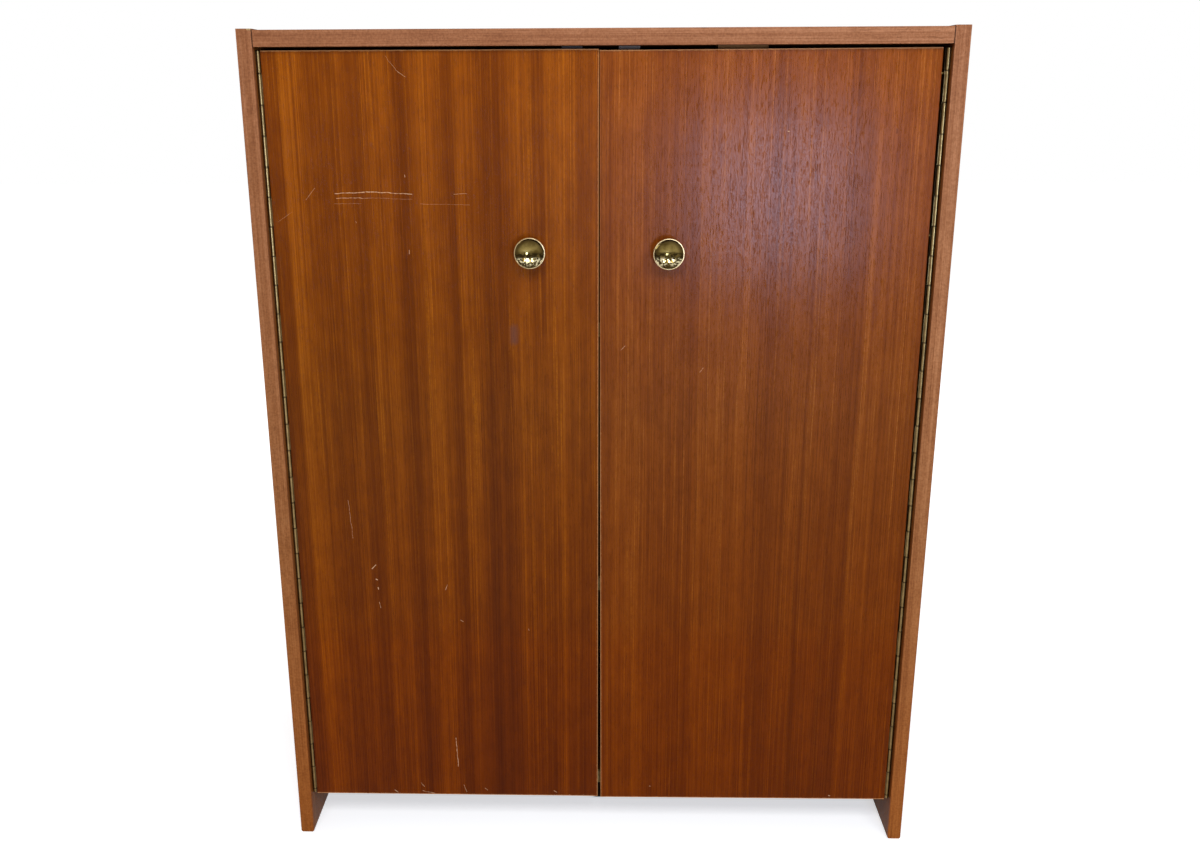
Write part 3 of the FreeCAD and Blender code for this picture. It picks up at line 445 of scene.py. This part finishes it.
def door_wood(side, out):
    """Veneer of one door, with pale arrises of wear and painted highlight, scratches and a stain on
    its front.
    """
    shade = Shade(f"{side}_door_veneer", **{"Specular IOR Level": DOOR_GLOSS})
    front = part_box(f"{side}_door")[0].y
    lean = -DOOR_SAG if out > 0 else 0.0
    local = shade.add("ShaderNodeMapping", {"Vector": shade.place, "Rotation": (0, lean, 0),
                                            "Location": (out * DOOR_EDGE, front, DOOR_LOW)},
                      vector_type="TEXTURE").outputs[0]
    x, y, z = shade.split(local)
    layers = grain(shade, local, "Z", GRAIN_SEED[side])
    colour = veneer(shade, side, out, x, z, layers)

    # Wear, the painted arris highlight and the stain on the front alone. Its points are bent a
    # little, so that scratches aren't ruled lines.
    on_front = shade.math("LESS_THAN", y, FRONT_DEPTH)
    bent = shade.math("MULTIPLY_ADD", shade.noise(local, 90.0), 0.003, -0.0015)
    flat_x, _, flat_z = shade.split(shade.place)
    point = shade.join(shade.math("ADD", flat_x, bent), 0.0, shade.math("ADD", flat_z, bent))
    worn_and_highlit = shade.times(worn_and_highlit_edges(shade, side, local, x, z), on_front)
    scratched = shade.times(scratches(shade, side, local, point), on_front)
    (stain_x, stain_z), radius, stain = STAINS[side]
    stained = near_line(shade, point, (stain_x, 0, stain_z - radius),
                        (stain_x, 0, stain_z + radius), radius)
    for mask, tint in ((worn_and_highlit, WORN_AND_HIGHLIT_WOOD), (scratched, SCRATCHED_WOOD),
                       (shade.times(stained, on_front, STAIN_SHARE), stain)):
        colour = shade.mix(mask, colour, tint)
    wear = shade.times(shade.math("MAXIMUM", worn_and_highlit, scratched), WORN_ROUGHNESS)
    gloss = shade.math("MULTIPLY_ADD", layers["flecks"], 0.08, DOOR_ROUGHNESS)
    shade.link(colour, shade.math("ADD", gloss, wear))
    shade.bump(layers["pores"], -0.0003, 0.5)
    return shade.material


def board_wood(name, along, stops, seed, roughness=0.5, painted_shade=None, joint=None, chip=None):
    """Veneer or solid strip with its grain along an axis.

    Joint: half width where painted shade darkens its ends, as in a shadowed gap. Chip: start and
    finish of a missing splinter.
    """
    shade = Shade(name, **{"Specular IOR Level": BOARD_GLOSS})
    layers = grain(shade, shade.place, along, seed)
    tone = tone_of(shade, 0.5, layers, (("broad", 0.12), ("streaks", 0.14), ("lines", 0.20),
                                        ("mottle", 0.08), ("flecks", 0.14)))
    colour = shade.ramp(tone, stops)
    colour = shade.mix(shade.times(layers["pores"], BOARD_PORE_SHARE), colour, BOARD_PORE)
    x, _, z = shade.split(shade.place)
    # Painted shade: darker and deeper in tone towards the bottom
    if painted_shade:
        tint = shade.ramp(shade.math("DIVIDE", z, PAINTED_SHADE_TALL), painted_shade)
        colour = shade.mix(1.0, colour, tint, "MULTIPLY")
    if joint:
        # Painted shade in the joint at each end
        painted_joint_shade = shade.smooth(shade.math("ABSOLUTE", x), joint - 0.0019, joint - 0.0008, 0.0, 0.93)
        colour = shade.mix(painted_joint_shade, colour, JOINT_PAINTED_SHADE)
    if chip:
        chipped = near_line(shade, shade.place, *chip, CHIP_HALF_WIDTH)
        colour = shade.mix(shade.smooth(chipped, 0.05, 0.45, 0.0, 0.9), colour, CHIPPED_WOOD)
    shade.link(colour, shade.math("MULTIPLY_ADD", layers["flecks"], 0.08, roughness))
    shade.bump(layers["pores"], -0.0004, 0.3)
    return shade.material


def mottled(shade, cloud, fine, share, dark, light):
    """Colour between two stops, by clouds with a share of fine noise."""
    value = shade.math("MULTIPLY_ADD", fine, share, shade.times(cloud, 1 - share))
    return shade.ramp(value, [dark, light])


def metal(name, dark, light, roughness, scale, wear=0.10):
    """Metal with cloudy tarnish and fine wear."""
    shade = Shade(name, Metallic=1.0)
    cloud = shade.noise(shade.place, scale, 4.0, 0.6)
    fine = shade.noise(shade.place, scale * 14, 3.0, 0.6)
    colour = mottled(shade, cloud, fine, 0.35, (0.32, rgb(*dark)), (0.62, rgb(*light)))
    shade.link(colour, shade.math("MULTIPLY_ADD", cloud, wear, roughness))
    shade.bump(fine, 0.00005, 0.25)
    return shade.material


def hinge_brass():
    """Tarnished brass of the hinges, with painted shade in the joints of the knuckles and beside
    them.
    """
    shade = Shade("hinge_brass", Metallic=1.0)
    low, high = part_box("left_hinge_pin")
    _, y, z = shade.split(shade.place)
    behind = shade.math("SUBTRACT", y, (low.y + high.y) / 2)
    cloud = shade.noise(shade.place, 90.0, 4.0, 0.6)
    fine = shade.noise(shade.place, 1260.0, 3.0, 0.6)
    colour = mottled(shade, cloud, fine, 0.35, (0.32, rgb(92, 74, 44)), (0.62, rgb(130, 107, 68)))
    # Painted shade on the leaf beside the barrel and in the joints of the knuckles
    beside = shade.times(shade.smooth(behind, 0.0015, 0.0030), shade.smooth(behind, 0.0080, 0.0045))
    share = shade.math("DIVIDE", shade.math("SUBTRACT", high.z - FIRST_KNUCKLE, z), KNUCKLE_PITCH)
    off = shade.math("ABSOLUTE", shade.math("SUBTRACT", share, shade.math("ROUND", share)))
    joint = shade.smooth(off, 0.0014 / KNUCKLE_PITCH, 0.0005 / KNUCKLE_PITCH)
    joint = shade.times(joint, shade.smooth(behind, 0.0030, 0.0020))
    hinge_painted_shade = shade.times(shade.math("MAXIMUM", beside, joint), HINGE_PAINTED_SHADE_SHARE)
    colour = shade.mix(hinge_painted_shade, colour, rgb(30, 21, 14))
    shade.link(colour, shade.math("MULTIPLY_ADD", cloud, 0.06, 0.26))
    shade.bump(fine, 0.00005, 0.08)
    return shade.material


def bowl_brass():
    """Polished bowl of a knob: olive tarnish, with a painted reflection over it: darker above and
    round the wall, blotched below.
    """
    shade = Shade("bowl_brass", Metallic=1.0)
    _, y, z = shade.split(shade.place)
    height = shade.math("SUBTRACT", z, KNOB_LEVEL)
    depth = shade.math("SUBTRACT", y, KNOB_FRONT)
    cloud = shade.noise(shade.place, 70.0, 3.0, 0.6)
    fine = shade.noise(shade.place, 900.0, 3.0, 0.6)
    colour = mottled(shade, cloud, fine, 0.2, (0.38, rgb(80, 64, 28)), (0.60, rgb(120, 102, 56)))
    # Painted reflection: darker above and round the wall
    above = shade.smooth(height, 0.004, 0.018, 0.0, 0.80)
    wall = shade.smooth(depth, 0.0064, 0.0020, 0.0, 0.80)
    colour = shade.mix(shade.math("MAXIMUM", above, wall), colour, rgb(50, 36, 14))

    # Painted reflection: dark blots below the middle, and pale spots below them
    reflected_blot = shade.smooth(shade.noise(shade.place, 280.0, 2.0, 0.6), 0.40, 0.54)
    band = shade.times(shade.smooth(height, 0.002, -0.002), shade.smooth(height, -0.012, -0.006))
    colour = shade.mix(shade.times(reflected_blot, band, 0.92), colour, rgb(34, 25, 10))
    reflected_spot = shade.smooth(shade.noise(shade.place, 360.0), 0.48, 0.57)
    low = shade.times(shade.smooth(height, -0.005, -0.009), shade.smooth(height, -0.018, -0.014))
    colour = shade.mix(shade.times(reflected_spot, low, 0.85), colour, rgb(232, 218, 176))
    shade.link(colour, shade.math("MULTIPLY_ADD", cloud, 0.06, 0.03))
    shade.bump(cloud, 0.0002, 0.25)
    return shade.material


def plain(name, dark, light, roughness):
    """Moulded or fibrous surface with mottled colour."""
    shade = Shade(name, **{"Specular IOR Level": PLAIN_GLOSS})
    cloud = shade.noise(shade.place, 120.0, 4.0, 0.6)
    fine = shade.noise(shade.place, 1440.0)
    colour = mottled(shade, cloud, fine, 0.5, (0.35, rgb(*dark)), (0.65, rgb(*light)))
    shade.link(colour, shade.math("MULTIPLY_ADD", fine, 0.12, roughness))
    shade.bump(fine, 0.0001, 0.3)
    return shade.material


def mesh_piece(name, vertices, faces, material, smooth=False):
    """Mesh whose vertices are in the part's frame."""
    mesh = bpy.data.meshes.new(name)
    mesh.from_pydata(vertices, [], faces)
    mesh.materials.append(material)
    mesh.validate()
    work = bmesh.new()
    work.from_mesh(mesh)
    bmesh.ops.recalc_face_normals(work, faces=work.faces)
    work.to_mesh(mesh)
    work.free()
    if smooth:
        mesh.shade_smooth()
        mesh.set_sharp_from_angle(angle=math.radians(35))
    piece = bpy.data.objects.new(name, mesh)
    bpy.context.scene.collection.objects.link(piece)
    return piece


def middle(low, high):
    """Middle of a box, seen from the front: X and Z."""
    return (low.x + high.x) / 2, (low.z + high.z) / 2


def revolve(profile, centre, steps):
    """Vertices and faces of a closed turn about a line along Y. Profile: (radius, y) pairs."""
    vertices, faces, rings = [], [], []
    for radius, y in profile:
        if radius == 0:
            rings.append([len(vertices)] * steps)
            vertices.append((centre[0], y, centre[1]))
            continue
        rings.append(list(range(len(vertices), len(vertices) + steps)))
        for step in range(steps):
            angle = 2 * math.pi * step / steps
            vertices.append((centre[0] + radius * math.cos(angle), y,
                             centre[1] + radius * math.sin(angle)))
    for first, second in zip(rings, rings[1:]):
        for step in range(steps):
            after = (step + 1) % steps
            loop = list(dict.fromkeys([first[step], first[after], second[after], second[step]]))
            if len(loop) > 2:
                faces.append(loop)
    return vertices, faces


def arc(centre, radius, start, finish, count):
    """Points of an arc in a profile, angles in degrees."""
    angles = [math.radians(start + (finish - start) * index / count) for index in range(count + 1)]
    return [(centre[0] + radius * math.cos(angle), centre[1] + radius * math.sin(angle))
            for angle in angles]


def knob_face(side):
    """Front of a knob: a bowl on a ball, with a thin rounded rim and a tapered back."""
    low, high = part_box(f"{side}_knob_dish")
    centre = middle(low, high)
    rim = (high.x - low.x) / 2
    lip = rim - DISH_RIM
    ball = (lip ** 2 + DISH_DEPTH ** 2) / (2 * DISH_DEPTH)
    angles = [math.asin(lip / ball) * index / BOWL_RINGS for index in range(BOWL_RINGS + 1)]
    bowl = [(ball * math.sin(angle), low.y + DISH_DEPTH - ball * (1 - math.cos(angle)))
            for angle in angles]
    over = [(lip + 0.0002, low.y + 0.00005), (rim - RIM_ROUND, low.y)]
    over += arc((rim - RIM_ROUND, low.y + RIM_ROUND), RIM_ROUND, -90, 20, 6)[1:]
    tail = [(DISH_BACK + 0.0006, high.y - 0.0003), (DISH_BACK, high.y), (0, high.y)]
    vertices, faces = revolve(bowl + over + tail, centre, DISH_STEPS)
    piece = mesh_piece(f"{side}_knob_bowl", vertices, faces, materials["brass_bowl"], True)
    piece.data.materials.append(materials["brass_rim"])
    for face in piece.data.polygons:
        radius = math.hypot(face.center.x - centre[0], face.center.z - centre[1])
        if radius > lip - 0.0001:
            face.material_index = 1
    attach(piece, f"{side}_door")
    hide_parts(f"{side}_knob_dish")


def knob_post(side):
    """Turned post behind the dish."""
    low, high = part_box(f"{side}_knob_stem")
    radius = (high.x - low.x) / 2
    waist = radius * POST_WAIST
    profile = [(0, high.y), (radius - 0.0004, high.y), (radius, high.y - 0.0004),
               (radius, high.y - 0.0018), (waist + 0.0002, high.y - 0.0026),
               (waist, high.y - 0.0034), (waist, low.y + 0.0030),
               (radius, low.y + 0.0008), (radius, low.y), (0, low.y)]
    vertices, faces = revolve(profile, middle(low, high), POST_STEPS)
    piece = mesh_piece(f"{side}_knob_post", vertices, faces, materials["brass_rim"], True)
    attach(piece, f"{side}_door")
    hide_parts(f"{side}_knob_stem")


class Shell:
    """Vertices and faces of closed meshes."""

    def __init__(self):
        self.vertices, self.faces, self.spots = [], [], {}

    def polygon(self, *corners):
        """Face that shares its corners with its neighbours."""
        loop = []
        for corner in corners:
            key = tuple(round(value, 7) for value in corner)
            if key not in self.spots:
                self.spots[key] = len(self.vertices)
                self.vertices.append(corner)
            loop.append(self.spots[key])
        self.faces.append(loop)

    def loops(self, sections):
        """Add loops of points, and give the number of each loop's first point."""
        starts = []
        for section in sections:
            starts.append(len(self.vertices))
            self.vertices.extend(section)
        return starts

    def skin(self, starts, wide):
        """Faces between each loop and the next."""
        for here, there in zip(starts, starts[1:]):
            for step in range(wide):
                after = (step + 1) % wide
                self.faces.append([here + step, here + after, there + after, there + step])


class Plate(Shell):
    """Thin plate from its face to its seat, which lie across X. Outlines are (y, z) points."""

    def __init__(self, face, seat):
        super().__init__()
        self.face, self.seat = face, seat

    def sheet(self, outline):
        """Both sides of the plate over an outline."""
        self.polygon(*[(self.face, *point) for point in outline])
        self.polygon(*[(self.seat, *point) for point in reversed(outline)])

    def edge(self, *points):
        """Narrow side of the plate from point to point."""
        for first, second in zip(points, points[1:]):
            self.polygon((self.face, *first), (self.face, *second),
                         (self.seat, *second), (self.seat, *first))

    def pierced(self, y, z):
        """Square of the plate with a countersunk hole in it."""
        quarter = HOLE_STEPS // 4
        corners = [(y + across * HOLE_FIELD, z + up * HOLE_FIELD)
                   for across, up in ((1, 1), (-1, 1), (-1, -1), (1, -1))]
        rims = []
        for x, width in ((self.face, SCREW_HEAD), (self.seat, SCREW_SHANK)):
            radius = width / 2 + SCREW_PLAY
            angles = [2 * math.pi * step / HOLE_STEPS + math.pi / 4 for step in range(HOLE_STEPS)]
            rim = [(x, y + radius * math.cos(angle), z + radius * math.sin(angle))
                   for angle in angles]
            for index in range(4):
                bow = [rim[(index * quarter + step) % HOLE_STEPS]
                       for step in range(quarter, -1, -1)]
                self.polygon((x, *corners[index]), (x, *corners[(index + 1) % 4]), *bow)
            rims.append(rim)
        for step in range(HOLE_STEPS):
            after = (step + 1) % HOLE_STEPS
            self.polygon(rims[0][step], rims[0][after], rims[1][after], rims[1][step])


def screw_rows(side):
    """Heights of the hinge screws."""
    low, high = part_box(f"{side}_hinge_pin")
    first, last = low.z + HINGE_SCREW_INSET, high.z - HINGE_SCREW_INSET
    step = (last - first) / (HINGE_SCREW_COUNT - 1)
    return [first + step * index for index in range(HINGE_SCREW_COUNT)]


def knuckle_spans(on_frame, low, high):
    """Lower and upper end of each knuckle of one leaf, from the top down. The leaves take turns."""
    spans, top, frame_turn, length = [], high, True, FIRST_KNUCKLE
    while top > low + 0.0005:
        bottom = max(low, top - length)
        if frame_turn == on_frame:
            spans.append((bottom + (0 if bottom == low else KNUCKLE_GAP / 2),
                          top - (0 if top == high else KNUCKLE_GAP / 2)))
        top, frame_turn, length = bottom, not frame_turn, KNUCKLE_PITCH
    return spans


def hinge_leaf(side, out, part):
    """One leaf of a piano hinge: plate with countersunk holes, and rolled knuckles."""
    low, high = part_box(f"{side}_hinge_pin")
    axis_x, axis_y = (low.x + high.x) / 2, (low.y + high.y) / 2
    bore = (high.x - low.x) / 2 + HINGE_PIN_PLAY
    barrel = bore + LEAF_THICKNESS
    leaf_low, leaf_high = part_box(f"{side}_hinge_{part}_leaf")
    on_frame = part == "frame"
    if on_frame:
        seat = leaf_high.x if out > 0 else leaf_low.x
    else:
        seat = out * DOOR_EDGE
    inward = -out if on_frame else out
    plate = Plate(seat + inward * LEAF_THICKNESS, seat)
    knuckles = knuckle_spans(on_frame, low.z, high.z)

    # The plate in strips: beside the knuckles, the squares round the screws, and behind them
    rows = screw_rows(side)
    y_screw = axis_y + HINGE_SCREW_OFFSET
    y_front, y_notch, y_back = axis_y, axis_y + barrel + NOTCH_PLAY, axis_y + LEAF_REACH
    y_near, y_far = y_screw - HOLE_FIELD, y_screw + HOLE_FIELD
    notches = sorted({low.z, high.z, *[level for span in knuckles for level in span]})
    levels = [low.z] + [row + way * HOLE_FIELD for row in rows for way in (-1, 1)] + [high.z]
    plate.sheet([(y_notch, level) for level in notches]
                + [(y_near, level) for level in reversed(levels)])
    plate.sheet([(y_far, level) for level in levels] + [(y_back, high.z), (y_back, low.z)])
    for lower, upper in zip(levels[::2], levels[1::2]):
        plate.sheet([(y_near, lower), (y_far, lower), (y_far, upper), (y_near, upper)])
    for row in rows:
        plate.pierced(y_screw, row)
    plate.edge((y_notch, low.z), (y_near, low.z), (y_far, low.z), (y_back, low.z), (y_back, high.z),
               (y_far, high.z), (y_near, high.z), (y_notch, high.z))
    for lower, upper in zip(notches, notches[1:]):
        if (lower, upper) in knuckles:
            plate.sheet([(y_front, lower), (y_notch, lower), (y_notch, upper), (y_front, upper)])
            plate.edge((y_notch, lower), (y_front, lower), (y_front, upper), (y_notch, upper))
        else:
            plate.edge((y_notch, lower), (y_notch, upper))

    angles = [2 * math.pi * step / KNUCKLE_STEPS for step in range(KNUCKLE_STEPS)]
    for lower, upper in knuckles:
        outline = [(bore, lower), (barrel - KNUCKLE_EASE, lower), (barrel, lower + KNUCKLE_EASE),
                   (barrel, upper - KNUCKLE_EASE), (barrel - KNUCKLE_EASE, upper), (bore, upper)]
        starts = plate.loops([[(axis_x + radius * math.cos(angle),
                                axis_y + radius * math.sin(angle), z) for angle in angles]
                              for radius, z in outline])
        plate.skin(starts + starts[:1], KNUCKLE_STEPS)
    piece = mesh_piece(f"{side}_hinge_{part}_plate", plate.vertices, plate.faces,
                       materials["brass_hinge"], True)
    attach(piece, "carcass" if on_frame else f"{side}_door")
    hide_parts(f"{side}_hinge_{part}_leaf")
    hinge_screws(side, part, plate.face, -inward, y_screw, rows)


def hinge_screws(side, part, face, way, y, rows):
    """Slotted countersunk screws of one leaf, their heads flush in its face."""
    low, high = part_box(f"{side}_hinge_{part}_screws")
    length = max(abs(low.x - face), abs(high.x - face))
    radius, count = SCREW_HEAD / 2, HEAD_STEPS
    open_angle = math.acos(SLOT_HALF_WIDTH / radius)
    angles = [open_angle - 2 * open_angle * step / count for step in range(count + 1)]
    outline = [(sign * radius * math.cos(angle), sign * radius * math.sin(angle))
               for sign in (1, -1) for angle in angles]
    wide = len(outline)
    halves = range(count + 1), range(count + 1, wide)

    # Depth and share of the head's width: top, floor of the slot, end of the cone, shank, point
    shank = SCREW_SHANK / SCREW_HEAD
    sections = [(0, 1), (SLOT_DEPTH, 1 - (1 - shank) * SLOT_DEPTH / SCREW_HEAD_HEIGHT),
                (SCREW_HEAD_HEIGHT, shank), (length - SCREW_POINT, shank), (length, shank * 0.3)]
    shell = Shell()
    for index, z in enumerate(rows):
        turn = 0.6 + 1.7 * index + (0.9 if part == "door" else 0.0)
        c, s = math.cos(turn), math.sin(turn)
        turned = [(u * c - v * s, u * s + v * c) for u, v in outline]
        starts = shell.loops([[(face + way * inset, y + share * u, z + share * v)
                               for u, v in turned] for inset, share in sections])
        top, floor = starts[:2]
        for half in halves:
            shell.faces.append([top + step for step in half])
            for step in half[:-1]:
                shell.faces.append([top + step, top + step + 1, floor + step + 1, floor + step])
            shell.faces.append([top + half[0], top + half[-1], floor + half[-1], floor + half[0]])
        shell.faces.append([floor + half[end] for half in halves for end in (0, -1)])
        shell.skin(starts[1:], wide)
        shell.faces.append([starts[-1] + step for step in range(wide)])
    piece = mesh_piece(f"{side}_hinge_{part}_screw_heads", shell.vertices, shell.faces,
                       materials["brass_screw"])
    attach(piece, "carcass" if part == "frame" else f"{side}_door")
    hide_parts(f"{side}_hinge_{part}_screws")


def add_camera():
    """Camera of the photograph."""
    yaw, pitch, roll = [math.radians(angle) for angle in CAMERA_TURN]
    forward = Vector((math.sin(yaw) * math.cos(pitch), math.cos(yaw) * math.cos(pitch),
                      -math.sin(pitch)))
    level = Vector((math.cos(yaw), -math.sin(yaw), 0))
    upright = level.cross(forward)
    right = level * math.cos(roll) + upright * math.sin(roll)
    up = upright * math.cos(roll) - level * math.sin(roll)
    data = bpy.data.cameras.new("camera")
    data.sensor_width = SENSOR_WIDTH
    data.lens = CAMERA_LENS
    data.shift_x, data.shift_y = CAMERA_SHIFT
    camera = bpy.data.objects.new("camera", data)
    turn = Matrix((right, up, -forward)).transposed().to_4x4()
    camera.matrix_world = Matrix.Translation(CAMERA_PLACE) @ turn
    bpy.context.scene.collection.objects.link(camera)
    bpy.context.scene.camera = camera


def add_lamp(name, place, target, size, power, colour):
    """Soft rectangular lamp that looks at a point."""
    data = bpy.data.lights.new(name, "AREA")
    data.shape = "RECTANGLE"
    data.size, data.size_y = size
    data.energy = power
    data.color = colour
    lamp = bpy.data.objects.new(name, data)
    lamp.location = place
    lamp.rotation_euler = (Vector(target) - Vector(place)).to_track_quat("-Z", "Y").to_euler()
    bpy.context.scene.collection.objects.link(lamp)


def add_floor():
    """Wide pale floor, white to the camera and in gloss, that keeps the shadow."""
    shade = Shade("floor", **{"Roughness": 0.9, "Specular IOR Level": 0.0})
    cloud = shade.noise(shade.place, 3.0, 3.0)
    pale = shade.ramp(cloud, [(0.3, (0.80, 0.80, 0.80, 1)), (0.7, (0.84, 0.84, 0.84, 1))])
    seen = shade.seen()

    # Painted shadow: the floor under the cabinet is dark, as no light falls there. The soft edge is
    # short behind the doors' gap.
    x, y, _ = shade.split(shade.place)
    aside = shade.math("ABSOLUTE", x)
    soft_end = shade.smooth(aside, 0.004, 0.030, -0.110, -0.085)
    under = shade.times(shade.smooth(y, -0.1135, soft_end), shade.smooth(y, 0.26, 0.16),
                        shade.smooth(aside, 0.45, 0.40))
    shade.link(shade.mix(seen, FLOOR_BOUNCE, shade.mix(under, pale, FLOOR_PAINTED_SHADOW)))
    away = shade.measure("LENGTH", shade.place)
    white = shade.smooth(away, 0.7, 2.4, FLOOR_WHITE_NEAR, FLOOR_WHITE_FAR)
    white = shade.times(white, shade.math("SUBTRACT", 1.0, under))
    shade.set(shade.shader.inputs["Emission Color"], (1, 1, 1, 1))
    shade.set(shade.shader.inputs["Emission Strength"], shade.times(seen, white))
    corners = [(-FLOOR_HALF, -FLOOR_HALF, 0), (FLOOR_HALF, -FLOOR_HALF, 0),
               (FLOOR_HALF, FLOOR_HALF, 0), (-FLOOR_HALF, FLOOR_HALF, 0)]
    floor = mesh_piece("floor", corners, [(0, 1, 2, 3)], shade.material)


def add_world(strength):
    """White to the camera, in gloss and through glass, and soft light from all round."""
    world = bpy.data.worlds.new("studio")
    world.use_nodes = True
    sky = Nodes(world.node_tree)
    level = sky.add("ShaderNodeMapRange", {"Value": sky.seen(), "To Min": strength, "To Max": 1.0})
    background = sky.tree.nodes["Background"]
    background.inputs["Color"].default_value = (1, 1, 1, 1)
    sky.set(background.inputs["Strength"], level.outputs[0])
    bpy.context.scene.world = world


lipping_low, lipping_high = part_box("left_side_lipping")
LEFT_CHIP = [(lipping_high.x - inset, lipping_low.y, lipping_high.z - 0.0004)
             for inset in (CHIP_LENGTH, 0.0)]
TOP_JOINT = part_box("top_lipping")[1].x
materials = {
    "left_door": door_wood("left", -1),
    "right_door": door_wood("right", 1),
    "lipping_left": board_wood("left_lipping", "Z", LEFT_SHADED_STOPS, 5.3, painted_shade=STRIP_PAINTED_SHADE,
                               chip=LEFT_CHIP),
    "lipping_right": board_wood("right_lipping", "Z", LIPPING_STOPS, 5.3, painted_shade=STRIP_PAINTED_SHADE),
    "lipping_across": board_wood("cross_lipping", "X", LIPPING_STOPS, 8.9, painted_shade=STRIP_PAINTED_SHADE,
                                 joint=TOP_JOINT),
    "lipping_low": board_wood("low_lipping", "X", PALE_LIT_STOPS, 7.7),
    "carcass_up": board_wood("upright_veneer", "Z", CARCASS_STOPS, 2.7, 0.45),
    "carcass_across": board_wood("cross_veneer", "X", CARCASS_STOPS, 6.1, 0.45),
    "block_wood": board_wood("block_wood", "X", BLOCK_STOPS, 4.4, 0.6),
    "hardboard": plain("hardboard", (112, 78, 48), (138, 100, 66), 0.6),
    "brass_bowl": bowl_brass(),
    "brass_rim": metal("rim_brass", (122, 98, 62), (170, 144, 102), 0.28, 90.0),
    "brass_hinge": hinge_brass(),
    "brass_screw": metal("screw_brass", (120, 98, 56), (182, 156, 100), 0.35, 150.0, 0.2),
    "steel": metal("steel", (120, 118, 114), (168, 166, 162), 0.35, 120.0, 0.2),
    "magnet": plain("magnet", (44, 42, 42), (66, 64, 62), 0.6),
    "grey_catch": plain("grey_plastic", (84, 66, 50), (108, 86, 66), 0.5),
    "dark_catch": plain("dark_plastic", (46, 32, 24), (66, 48, 36), 0.5),
}

# Material of each CAD node. The rest are steel.
FINISHES = {
    "left_door": "left_door", "right_door": "right_door",
    "left_side": "carcass_up", "right_side": "carcass_up",
    "left_side_lipping": "lipping_left", "right_side_lipping": "lipping_right",
    "top_panel": "carcass_across", "bottom_panel": "carcass_across",
    "lower_shelf": "carcass_across", "upper_shelf": "carcass_across",
    "top_lipping": "lipping_across", "bottom_lipping": "lipping_low",
    "lower_shelf_lipping": "lipping_low", "upper_shelf_lipping": "lipping_low",
    "back_panel": "hardboard", "door_stop_block": "block_wood",
    "right_catch_housing": "grey_catch", "left_catch_housing": "dark_catch",
    "left_catch_magnet": "magnet", "right_catch_magnet": "magnet",
    "left_hinge_pin": "brass_hinge", "right_hinge_pin": "brass_hinge",
}
for name, piece in nodes.items():
    piece.data.materials.clear()
    piece.data.materials.append(materials[FINISHES.get(name, "steel")])

for side, out in SIDES:
    knob_face(side)
    knob_post(side)
    for part in ("frame", "door"):
        hinge_leaf(side, out, part)

add_camera()
add_floor()
add_world(WORLD_STRENGTH)
for index, across in enumerate((-0.70, 0.25, 1.20)):
    add_lamp(f"key_{index}", (across, -2.15, 2.25), (0, -0.2, 0.9), (0.6, 0.8), *KEY_LIGHT)
for side, out in SIDES:
    add_lamp(f"fill_{side}", (2.3 * out, 1.7, 2.4), (0, 0.2, 0.6), (1.2, 1.2), *FILL_LIGHT)
add_lamp("window", (0.73, -3.6, 0.67), (0.2, -0.2, 0.95), (0.66, 0.62), *WINDOW_LIGHT)
bpy.context.scene.view_settings.view_transform = "Standard"
